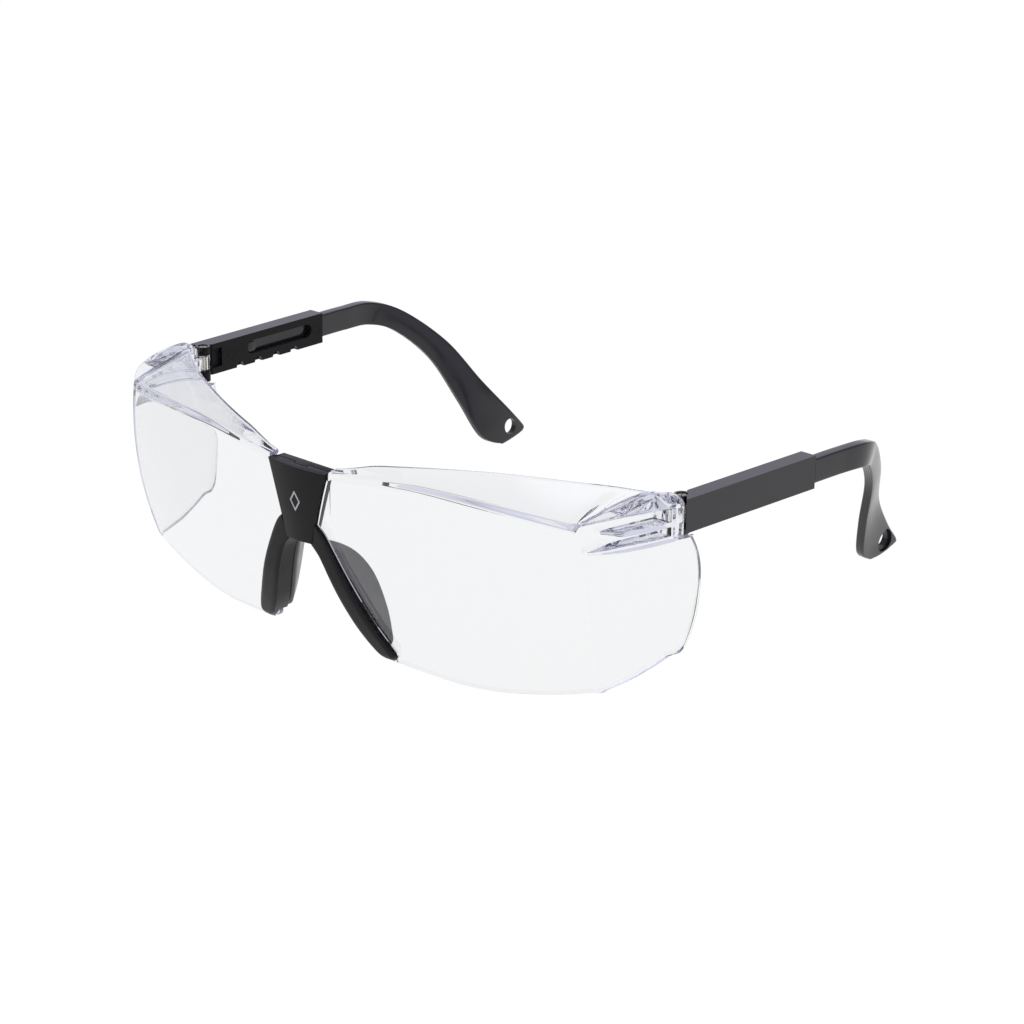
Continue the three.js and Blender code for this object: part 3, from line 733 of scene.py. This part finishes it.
def bridge_cover():
    cover = bridge_slab(
        0, COVER_CROWN, COVER_FRONT, COVER_FOOT_FRONT, COVER_BACK, BRIDGE_TOP, BRIDGE_FOOT
    )
    half = BRIDGE_TOP_HALF_WIDTH
    tab = TAB_HALF_WIDTH + 0.12
    under = BRIDGE_TOP - BRIDGE_WALL
    join(cover, block(-half, half, COVER_BACK - 0.2, PARTING, under, BRIDGE_TOP))
    cut(cover, block(-tab, tab, PARTING - TAB_REACH, PARTING + 1, under - 1, BRIDGE_TOP + 1))
    return eased(cleaned(cover), width=0.28, parts=4, angle=40)


def bridge_clip():
    """The rear half, with the lip that meets the cover and the tab that snaps into it."""
    clip = bridge_slab(
        -0.5, 0, CLIP_FRONT, CLIP_FRONT, CLIP_BACK, BRIDGE_TOP, CLIP_FOOT, heights=1
    )
    seam = PARTING + SEAM
    tab = TAB_HALF_WIDTH
    under = BRIDGE_TOP - BRIDGE_WALL
    join(
        clip,
        block(-8, 8, seam, CLIP_FRONT + 0.2, under, BRIDGE_TOP),
        block(-tab, tab, seam - TAB_REACH, seam + 0.2, under, BRIDGE_TOP),
    )
    return eased(cleaned(clip), width=0.22, parts=3, angle=40)


def bridge_mark():
    """A plain printed lozenge on the cover: a closed band that sinks in a little."""

    def on_cover(x, z, lift):
        half = bridge_half_width(z)
        bulge = COVER_CROWN * half / BRIDGE_TOP_HALF_WIDTH
        y = lerp(COVER_FRONT, COVER_FOOT_FRONT, down_bridge(z)) - bulge * (1 - (x / half) ** 2)
        return (x, y - lift, z)

    def rim(size, lift):
        wide, high = MARK_HALF_WIDTH * size, MARK_HALF_HEIGHT * size
        corners = [(wide, 0), (0, high), (-wide, 0), (0, -high)]
        points = []
        for i, (x, z) in enumerate(corners):
            next_x, next_z = corners[(i + 1) % 4]
            points += [
                on_cover(lerp(x, next_x, t), MARK_Z + lerp(z, next_z, t), lift) for t in steps(6)[:-1]
            ]
        return points

    inner = 1 - MARK_BAND / MARK_HALF_WIDTH
    rims = [
        rim(1, -MARK_DEPTH), rim(1, MARK_HEIGHT), rim(inner, MARK_HEIGHT), rim(inner, -MARK_DEPTH),
    ]
    n = len(rims[0])
    faces = []
    for r in range(4):
        for k in range(n):
            this, following = r * n, (r + 1) % 4 * n
            beside = (k + 1) % n
            faces.append((this + k, this + beside, following + beside, following + k))
    return mesh_object("mark", [p for points in rims for p in points], faces)


# ---- Nose frame and pads ------------------------------------------------------------------------

HUB_TOP = -13.1
STRIP_FOOT = -43.4
WEB_FOOT = -41.2
WEB_TOP = -19.2
PAD_FOOT = -41
PAD_TOP = -18.8
LEAN = 1.12  # a gap across the leaning strip is this much wider along x
SEAT_DEPTH = 0.8
WEB_THICKNESS = 1
WEB_REAR = 2.9
nose_inner = line_through([
    (-43.4, 17.9), (-41.6, 15.7), (-37.4, 12.7), (-32.5, 10.2), (-26.4, 7.5), (-21.7, 5.2), (-19.2, 3),
])
nose_outer = line_through([
    (-43.4, 19.2), (-41.9, 20.2), (-39.9, 19.5), (-35.2, 16.9), (-29.1, 13.8), (-22.3, 10.3),
    (-17.3, 7.5), (-15.5, 6.1), (-14, 4.2),
])


def proud_of(z):
    return 0.7 + 0.7 * smooth(17, 30, -z)


def nose_strip(play):
    """One strip. The room for it has play at its edges and is open to the front."""
    rings = []
    for t in steps(60):
        z = lerp(STRIP_FOOT - play, HUB_TOP + play, t)
        left, right = nose_inner(z) - play * LEAN, nose_outer(z) + play * LEAN
        xs = [lerp(left, right, u) for u in steps(12)]
        if play:
            fronts = [4] * len(xs)
            back = SEAT_DEPTH
        else:
            tip = math.sqrt(max(0.02, 1 - (1 - smooth(-43.6, -41.6, z)) ** 2))
            fronts = [proud_of(z) * tip * (1 - 0.34 * abs(2 * u - 1) ** 6) for u in steps(12)]
            back = SEAT_DEPTH - GAP
        ring = [(x, front_y(x, z) - front, z) for x, front in zip(xs, fronts)]
        ring += [(x, front_y(x, z) + back, z) for x in xs[::-1]]
        rings.append(ring)
    return loft("strip", rings)


def nose_web(play):
    """The thin web behind a strip, which carries the pad."""
    rings = []
    front, back = -GAP - play, WEB_REAR + play
    for t in steps(40):
        z = lerp(WEB_FOOT - play, WEB_TOP + play, t)
        left = nose_inner(z) - play * LEAN
        right = nose_inner(z) + WEB_THICKNESS * LEAN + play * LEAN
        corners = [(left, front), (right, front), (right, back), (left, back)]
        rings.append([(x, front_y(x, z) + behind, z) for x, behind in corners])
    return loft("web", rings)


def nose_hub(play):
    half = [(2.2, HUB_TOP + play), (3.6 + play, -15.2), (5 + play, -19), (3.6, -19.6 - play)]
    outline = half + [(-x, z) for x, z in half[::-1]]
    return prism(outline, "y", COVER_BACK + GAP - play, CLIP_FRONT - GAP + play)


def nose_frame():
    fork = nose_strip(0)
    join(fork, nose_web(0))
    cleaned(fork, 0.6)
    join(fork, mirrored(fork))
    join(fork, nose_hub(0))
    cut(fork, cover_envelope(0.12))
    front = CLIP_FRONT - GAP
    cut(fork, bridge_slab(-0.2, 0, front, front, -30, 0, CLIP_FOOT - GAP, heights=1))
    return fork


pad_reach = line_through([
    (PAD_FOOT, 0.9), (-39, 2.6), (-34.6, 4.9), (-29.4, 6.2), (-25, 6.3), (-21, 4.6), (PAD_TOP, 1.4),
])
PAD_ALONG = Vector((0.42, 0.907))
PAD_FRONT = 1.5
PAD_REAR = 0.8


def pad_ring(z, size=1.0):
    """A section of a pad: a root that fits the web, and a leaf that thins to the rear."""
    x = nose_inner(z) + 0.7
    root = Vector((x, front_y(x, z) + WEB_REAR + GAP + 0.5))
    across = Vector((PAD_ALONG.y, -PAD_ALONG.x))
    reach = pad_reach(z) * size
    front, rear = PAD_FRONT / 2 * size, PAD_REAR / 2 * size
    curl = 0.55 * smooth(0, 6, reach)

    def at(along, offset):
        lift = curl * (along / max(reach, 0.1)) ** 2
        p = root + PAD_ALONG * along + across * (offset + lift)
        return Vector((p.x, p.y, z))

    half = [(0, 0.55), (0.03, 0.8), (0.08, 0.96), (0.14, 1)]
    half += [(t, 1) for t in (0.3, 0.45, 0.6, 0.75, 0.88)]
    half += [(0.94, 0.92), (0.98, 0.65), (1, 0.25)]
    sides = []
    for sign in (1, -1):
        sides.append([
            at(t * reach, sign * s * lerp(front, rear, smooth(0.1, 0.8, t))) for t, s in half
        ])
    return sides[0] + sides[1][::-1]


def nose_pad():
    """A leaf-shaped pad, thinned to nothing much at its two tips."""
    rings = []
    for t in steps(44):
        z = lerp(PAD_FOOT, PAD_TOP, t)
        ends = min(1, math.sqrt(max(0.04, 1 - (1 - smooth(0, 0.05, min(t, 1 - t))) ** 2)))
        rings.append(pad_ring(z, ends))
    return loft("pad", rings)


# ---- Temples ------------------------------------------------------------------------------------


def sleeve():
    """A channel for the arm, with two knuckles, a slot with notches under it, and sunk rings."""
    body = prism([
        (SLEEVE_OUTER, SLEEVE_FRONT), (SLEEVE_OUTER, SLEEVE_REAR), (SLEEVE_INNER, SLEEVE_REAR),
        (SLEEVE_INNER, SLEEVE_FRONT_INSIDE),
    ], "z", SLEEVE_FLOOR, SLEEVE_TOP)
    above, below = TONGUE_TOP + GAP, TONGUE_FLOOR - GAP
    join(
        body,
        round_bar((0, 0), KNUCKLE_RADIUS, "z", above, KNUCKLE_TOP),
        round_bar((0, 0), KNUCKLE_RADIUS, "z", KNUCKLE_FLOOR, below),
    )
    tongue_room = round_bar((0, 0), TONGUE_RADIUS + 1.25 * GAP, "z", below, above)
    pocket = block(-2, 0.2, 2.4, 5.3, -6.1, -1.6)
    arm_channel = block(0.4, 2.4, 6, 50, -6.75, -1.15)
    cut(body, tongue_room, pocket, arm_channel)
    slot_radius = SLOT_HEIGHT / 2
    slot = arc((SLOT_REAR - slot_radius, SLOT_Z), slot_radius, -90, 90)
    slot += arc((SLOT_FRONT + slot_radius, SLOT_Z), slot_radius, 90, 270)
    cut(body, prism(slot, "x", SLEEVE_INNER - 1, 0.5))
    for y in NOTCH_YS:
        cut(body, round_bar((y, SLEEVE_FLOOR), NOTCH_RADIUS, "x", SLEEVE_INNER - 1, 0.5))
    eased(cleaned(body), width=0.22, parts=3, angle=40)
    cut(
        body,
        round_bar((0, 0), SCREW_RADIUS + 0.04, "z", -10, 2, 32),
        round_bar((0, 0), SCREW_HEAD_RADIUS + 0.1, "z", KNUCKLE_TOP - 1.1, 2, 40),
    )
    for y in RING_YS:
        centre = (y, RING_Z)
        ring = round_bar(centre, RING_RADIUS, "x", SLEEVE_INNER - 0.5, SLEEVE_INNER + RING_DEPTH, 40)
        core = round_bar(centre, RING_CORE_RADIUS, "x", SLEEVE_INNER - 1, SLEEVE_INNER + 1, 40)
        cut(ring, core)
        cut(body, ring)
    return body


# The ear hook: opposite points on its front and rear edges, and its thickness there.
HOOK = [
    (Vector((1.63, 38.3, -6.65)), Vector((1.63, 38.3, -1.25)), 2.75),
    (Vector((1.63, 47, -6.65)), Vector((1.63, 47, -1.25)), 2.75),
    (Vector((1.4, 55, -7.05)), Vector((1.4, 56.2, -1.7)), 2.75),
    (Vector((-1.9, 61.3, -9.4)), Vector((-2.3, 64, -4.9)), 2.6),
    (Vector((-6.7, 68.7, -17)), Vector((-7.9, 73.3, -13.2)), 2.4),
    (Vector((-11.7, 73.6, -27.9)), Vector((-13.3, 80.2, -23.7)), 2.4),
    (Vector((-15.2, 77.6, -36.8)), Vector((-16, 87.6, -32.4)), 2.4),
    (Vector((-16.5, 81.8, -39.6)), Vector((-16.6, 91.9, -37.2)), 2.2),
    (Vector((-16.6, 84, -39.9)), Vector((-16.7, 91.3, -38.1)), 2),
    (Vector((-16.6, 85.2, -39.95)), Vector((-16.7, 90.3, -38.8)), 1.7),
]
HOOK_SECTIONS = 110
HOOK_FRONT_ROUNDING = 0.42
EAR_HOLE = Vector((-16.6, 86.7, -36.3))
EAR_HOLE_RADIUS = 1.95
EAR_HOLE_SEAT_RADIUS = 2.7
GROOVES = (-0.36, 0.02, 0.4)
GROOVE_DEPTH = 0.07
GROOVE_HALF_WIDTH = 0.06


def hook_lines(t):
    """The hook's front and rear edges and its thickness at t."""
    front = curve_through([row[0] for row in HOOK], t)
    rear = curve_through([row[1] for row in HOOK], t)
    thickness = curve_through([Vector((row[2], 0)) for row in HOOK], t)[0]
    return front, rear, thickness


def hook_ring(t):
    """A section across the hook: crowned faces, rounded edges and fine grooves in front."""
    front, rear, thickness = hook_lines(t)
    front_ahead, rear_ahead, _ = hook_lines(min(t + 0.004, 1))
    front_behind, rear_behind, _ = hook_lines(max(t - 0.004, 0))
    heading = (front_ahead - front_behind + rear_ahead - rear_behind).normalized()
    across = (rear - front).normalized()
    width = (rear - front).length
    side = across.cross(heading).normalized()
    half = thickness / 2 * (1 - smooth(0.985, 1, t) * 0.55)
    crown = lerp(0.03, 0.16, smooth(0.2, 0.45, t))
    front_radius = HOOK_FRONT_ROUNDING
    rear_radius = lerp(0.45, 1, smooth(0.25, 0.5, t))
    low = half * (1 - crown)
    rear_low = low - min(rear_radius, low * 0.8)

    def at(along, out):
        return front + across * along + side * out

    def face(sign):
        start, corner = at(0, sign * (low - front_radius)), at(0, sign * low)
        points = [bend(start, corner, at(front_radius, sign * low), u) for u in steps(4)]
        for u in steps(9)[1:-1]:
            along = lerp(front_radius, width - rear_radius, u)
            bulge = 1 - (2 * along / width - 1) ** 2
            points.append(at(along, sign * lerp(low, half, bulge)))
        corner, end = at(width, sign * low), at(width, sign * rear_low)
        points += [bend(at(width - rear_radius, sign * low), corner, end, u) for u in steps(5)]
        return points

    ring = face(1)
    ring += face(-1)[::-1]
    for groove in GROOVES:
        middle = groove * half
        ring.append(at(0, middle - GROOVE_HALF_WIDTH))
        ring.append(at(GROOVE_DEPTH, middle))
        ring.append(at(0, middle + GROOVE_HALF_WIDTH))
    return ring


def temple_arm():
    """The ear hook with its stepped strap hole, and the shank and peg that slide in the sleeve."""
    arm = loft("arm", [hook_ring(t) for t in steps(HOOK_SECTIONS)])
    x, y, z = EAR_HOLE
    cut(
        arm,
        round_bar((y, z), EAR_HOLE_RADIUS, "x", x - 4, x + 4, 40),
        round_bar((y, z), EAR_HOLE_SEAT_RADIUS, "x", x + 0.5, x + 4, 48),
    )
    shank = eased(block(0.7, 2.1, 9, 40, -6.45, -1.45), width=0.2, parts=2)
    corners = [(13.8, -4.9), (16.4, -4.9), (16.4, -2.5), (13.8, -2.5)]
    peg = prism(rounded(corners, [0.9] * 4), "x", -0.4, 0.9)
    join(shank, eased(peg, width=0.12, parts=2))
    join(arm, shank)
    return arm


def hinge_screw():
    """A headed pin, turned from a profile of radius and height, with a crossed recess."""
    top = KNUCKLE_TOP - 0.2
    under = top - 0.75
    head = SCREW_HEAD_RADIUS
    foot = KNUCKLE_FLOOR + 0.1
    profile = [
        (0.45, foot), (SCREW_RADIUS, foot + 0.15), (SCREW_RADIUS, under), (head, under),
        (head, top - 0.2), (head - 0.06, top - 0.08), (head - 0.2, top), (0.3, top + 0.03),
    ]
    sides = 40
    angles = [2 * math.pi * k / sides for k in range(sides)]
    rings = [[(r * math.cos(a), r * math.sin(a), z) for a in angles] for r, z in profile]
    screw = loft("screw", rings)
    for turn in (20, 110):
        blade = block(-0.75, 0.75, -0.13, 0.13, top - 0.35, top + 1)
        blade.data.transform(Matrix.Rotation(math.radians(turn), 4, "Z"))
        cut(screw, blade)
    return screw


# ---- Materials ----------------------------------------------------------------------------------


def new_material(name):
    material = bpy.data.materials.new(name)
    material.use_nodes = True
    nodes, links = material.node_tree.nodes, material.node_tree.links
    return material, nodes, links, nodes["Principled BSDF"]


def coordinates(nodes, links, scale=(1, 1, 1)):
    place = nodes.new("ShaderNodeTexCoord")
    size = nodes.new("ShaderNodeMapping")
    size.inputs["Scale"].default_value = scale
    links.new(place.outputs["Object"], size.inputs["Vector"])
    return size.outputs["Vector"]


def noise(nodes, links, vector, scale, detail):
    texture = nodes.new("ShaderNodeTexNoise")
    texture.inputs["Scale"].default_value = scale
    texture.inputs["Detail"].default_value = detail
    texture.inputs["Roughness"].default_value = 0.55
    links.new(vector, texture.inputs["Vector"])
    return texture.outputs["Fac"]


def spread(nodes, links, value, low, high, start=0.3, end=0.7):
    """Maps a noise's middle values to the range from low to high."""
    span = nodes.new("ShaderNodeMapRange")
    span.inputs["From Min"].default_value = start
    span.inputs["From Max"].default_value = end
    span.inputs["To Min"].default_value = low
    span.inputs["To Max"].default_value = high
    links.new(value, span.inputs["Value"])
    return span.outputs["Result"]


def bump(nodes, links, height, strength, distance):
    node = nodes.new("ShaderNodeBump")
    node.inputs["Strength"].default_value = strength
    node.inputs["Distance"].default_value = distance
    links.new(height, node.inputs["Height"])
    return node.outputs["Normal"]


def blend_colours(nodes, links, factor, first, second):
    mix = nodes.new("ShaderNodeMix")
    mix.data_type = "RGBA"
    mix.inputs["A"].default_value = (*first, 1)
    mix.inputs["B"].default_value = (*second, 1)
    links.new(factor, mix.inputs["Factor"])
    return mix.outputs["Result"]


def moulded(name, dark, light, roughness, grain, strength, specular=0.5):
    """Moulded plastic: a fine grain, and a colour and gloss that vary slowly."""
    material, nodes, links, shader = new_material(name)
    vector = coordinates(nodes, links)
    fine = noise(nodes, links, vector, scale=grain, detail=3)
    broad = noise(nodes, links, vector, scale=140, detail=2)
    links.new(blend_colours(nodes, links, broad, dark, light), shader.inputs["Base Color"])
    links.new(spread(nodes, links, broad, *roughness), shader.inputs["Roughness"])
    links.new(bump(nodes, links, fine, strength, 0.00004), shader.inputs["Normal"])
    shader.inputs["IOR"].default_value = 1.5
    shader.inputs["Specular IOR Level"].default_value = specular
    return material


def clear_plastic():
    """Polished polycarbonate with a cool tint that shows along its edges, and hairline marks."""
    material, nodes, links, shader = new_material("clear_plastic")
    shader.inputs["Base Color"].default_value = (0.912, 0.92, 0.91, 1)
    shader.inputs["Transmission Weight"].default_value = 1
    shader.inputs["IOR"].default_value = 1.58
    hairs = noise(nodes, links, coordinates(nodes, links, (1, 1, 0.16)), scale=2600, detail=2)
    slow = noise(nodes, links, coordinates(nodes, links), scale=60, detail=1)
    links.new(spread(nodes, links, hairs, 0, 0.05, 0.66, 0.74), shader.inputs["Roughness"])
    links.new(bump(nodes, links, slow, 0.02, 0.0001), shader.inputs["Normal"])
    volume = nodes.new("ShaderNodeVolumeAbsorption")
    volume.inputs["Color"].default_value = (0.47, 0.47, 0.66, 1)
    volume.inputs["Density"].default_value = 28
    links.new(volume.outputs["Volume"], nodes["Material Output"].inputs["Volume"])
    return material


def screw_metal():
    material, nodes, links, shader = new_material("screw_metal")
    fine = noise(nodes, links, coordinates(nodes, links), scale=3000, detail=3)
    colour = blend_colours(nodes, links, fine, (0.62, 0.5, 0.36), (0.78, 0.7, 0.6))
    links.new(colour, shader.inputs["Base Color"])
    links.new(spread(nodes, links, fine, 0.22, 0.4), shader.inputs["Roughness"])
    shader.inputs["Metallic"].default_value = 1
    return material


def mark_paint():
    material, nodes, links, shader = new_material("mark_paint")
    fine = noise(nodes, links, coordinates(nodes, links), scale=5000, detail=2)
    colour = blend_colours(nodes, links, fine, (0.4, 0.41, 0.42), (0.52, 0.53, 0.54))
    links.new(colour, shader.inputs["Base Color"])
    shader.inputs["Roughness"].default_value = 0.45
    return material


clear = clear_plastic()
satin = moulded(
    "satin_black", dark=(0.007, 0.0066, 0.007), light=(0.01, 0.0096, 0.01), roughness=(0.36, 0.46),
    grain=5200, strength=0.35, specular=0.16,
)
gloss = moulded(
    "gloss_black", dark=(0.009, 0.008, 0.0098), light=(0.014, 0.0125, 0.015), roughness=(0.12, 0.2),
    grain=3000, strength=0.12, specular=0.46,
)
# A darker, duller copy of the gloss black for the sleeves' inward faces: painted shade, not a
# different plastic.
painted_shade_black = moulded(
    "painted_shade_black", dark=(0.006, 0.0057, 0.0062), light=(0.009, 0.0085, 0.0092), roughness=(0.4, 0.5),
    grain=4200, strength=0.3, specular=0.12,
)
pad_rubber = moulded(
    "pad_rubber", dark=(0.03, 0.03, 0.032), light=(0.042, 0.042, 0.045), roughness=(0.25, 0.36),
    grain=2600, strength=0.15,
)
steel = screw_metal()
paint = mark_paint()

# ---- Pieces -------------------------------------------------------------------------------------


def paint_inner_shade(case, inward):
    """Gives the faces of a sleeve that look toward the head a darker, duller black: painted shade on
    the sleeve's inner side.
    """
    case.data.materials.append(painted_shade_black)
    for polygon in case.data.polygons:
        if polygon.normal.x * inward > 0.6:
            polygon.material_index = 1


placed(shield(), "lens_moulding", SPECTACLE, clear, "front", ["lens_shield"], 32)
placed(bridge_cover(), "bridge_front_cover", SPECTACLE, satin, "front", ["bridge_cover"])
placed(bridge_clip(), "bridge_rear_clip", SPECTACLE, satin, "front", ["bridge_clip"])
placed(bridge_mark(), "bridge_print", SPECTACLE, paint, "front", [])
placed(nose_frame(), "nose_fork", SPECTACLE, satin, "front", ["nose_frame"], 40)

for word, side in (("left", Matrix.Identity(4)), ("right", MIRROR)):
    pad = placed(
        nose_pad(), f"soft_nose_pad_{word}", side @ SPECTACLE, pad_rubber, "front",
        [f"nose_pad_{word}"], 60,
    )
    case = placed(
        sleeve(), f"sleeve_moulding_{word}", side @ TEMPLE, gloss, f"sleeve_{word}",
        [f"temple_sleeve_{word}"],
    )
    paint_inner_shade(case, -1 if word == "left" else 1)
    weighted(case)
    placed(
        temple_arm(), f"arm_moulding_{word}", side @ TEMPLE, gloss, f"arm_{word}",
        [f"temple_arm_{word}"], 50,
    )
    placed(
        hinge_screw(), f"screw_{word}", side @ TEMPLE, steel, f"sleeve_{word}",
        [f"hinge_screw_{word}"],
    )

# ---- Floor, light and camera ----------------------------------------------------------------------

FLOOR_RADIUS = 9.0  # in metres, as the floor is drawn in the shared frame
FLOOR_Z = -0.0002


def studio_floor():
    """A bright round floor that reaches to the horizon."""
    material, _, _, shader = new_material("floor")
    shader.inputs["Base Color"].default_value = (0.05, 0.05, 0.05, 1)
    shader.inputs["Roughness"].default_value = 0.9
    shader.inputs["Specular IOR Level"].default_value = 0
    shader.inputs["Emission Color"].default_value = (1, 1, 1, 1)
    shader.inputs["Emission Strength"].default_value = 0.98
    sides = 96
    rim = arc((0, 0), FLOOR_RADIUS, 0, 360 - 360 / sides, sides - 1)
    floor = mesh_object("studio_floor", [(x, y, FLOOR_Z) for x, y in rim], [tuple(range(sides))])
    floor.data.materials.append(material)


AMBIENT = 0.45
AMBIENT_COLOUR = (0.98, 0.98, 1.15, 1)
# Each soft panel: the direction it stands in, the cosines where it starts and is full, its strength.
PANELS = [
    ((-0.55, 0.78, 0.3), 0.55, 0.9, 0.34),
    ((0.25, 0.1, 0.96), 0.86, 0.95, 1.6),
    ((0.95, -0.1, 0.3), 0.8, 0.95, 0.35),
]


def studio_light():
    """A dim studio with a few large soft panels round the object."""
    world = bpy.data.worlds.new("studio")
    world.use_nodes = True
    nodes, links = world.node_tree.nodes, world.node_tree.links
    direction = nodes.new("ShaderNodeTexCoord").outputs["Generated"]
    ambient = nodes.new("ShaderNodeValue")
    ambient.outputs["Value"].default_value = AMBIENT
    strength = ambient.outputs["Value"]
    for at, start, full, power in PANELS:
        facing = nodes.new("ShaderNodeVectorMath")
        facing.operation = "DOT_PRODUCT"
        facing.inputs[1].default_value = Vector(at).normalized()
        links.new(direction, facing.inputs[0])
        panel = nodes.new("ShaderNodeMapRange")
        panel.interpolation_type = "SMOOTHSTEP"
        panel.inputs["From Min"].default_value = start
        panel.inputs["From Max"].default_value = full
        panel.inputs["To Max"].default_value = power
        links.new(facing.outputs["Value"], panel.inputs["Value"])
        total = nodes.new("ShaderNodeMath")
        links.new(panel.outputs["Result"], total.inputs[0])
        links.new(strength, total.inputs[1])
        strength = total.outputs["Value"]
    nodes["Background"].inputs["Color"].default_value = AMBIENT_COLOUR
    links.new(strength, nodes["Background"].inputs["Strength"])
    bpy.context.scene.world = world


CAMERA_AZIMUTH = 43.25
CAMERA_ELEVATION = 20.34
CAMERA_TILT = 0.95  # how far the camera's level leans from the spectacle frame, in degrees
CAMERA_LENS = 116.0
CAMERA_STAND = Vector((18.29, -21.18, 708.2))  # right, up and back from between the hinges


def studio_camera():
    """The camera stands off along its own axes, turned and tilted from the spectacle frame."""
    azimuth, elevation = math.radians(CAMERA_AZIMUTH), math.radians(CAMERA_ELEVATION)
    back = Vector((
        math.sin(azimuth) * math.cos(elevation), -math.cos(azimuth) * math.cos(elevation),
        math.sin(elevation),
    ))
    right = Vector((math.cos(azimuth), math.sin(azimuth), 0))
    turn = Matrix((right, back.cross(right), back)).transposed()
    lean = Matrix.Rotation(math.radians(CAMERA_TILT), 3, "X")
    basis = SPECTACLE.to_3x3().normalized() @ lean @ turn
    camera = bpy.data.objects.new("camera", bpy.data.cameras.new("camera"))
    camera.data.lens = CAMERA_LENS
    camera.data.sensor_width = 36
    camera.data.clip_start = 0.01
    camera.data.clip_end = 50
    camera.matrix_world = (
        Matrix.Translation(SPECTACLE @ (lean @ turn @ CAMERA_STAND)) @ basis.to_4x4()
    )
    bpy.context.scene.collection.objects.link(camera)
    bpy.context.scene.camera = camera


studio_floor()
studio_light()
studio_camera()
bpy.context.scene.view_settings.view_transform = "Standard"

# Light is passed on inside the thick clear edges many times before it comes out.
bpy.context.scene.cycles.max_bounces = 32
bpy.context.scene.cycles.glossy_bounces = 24
bpy.context.scene.cycles.transmission_bounces = 32
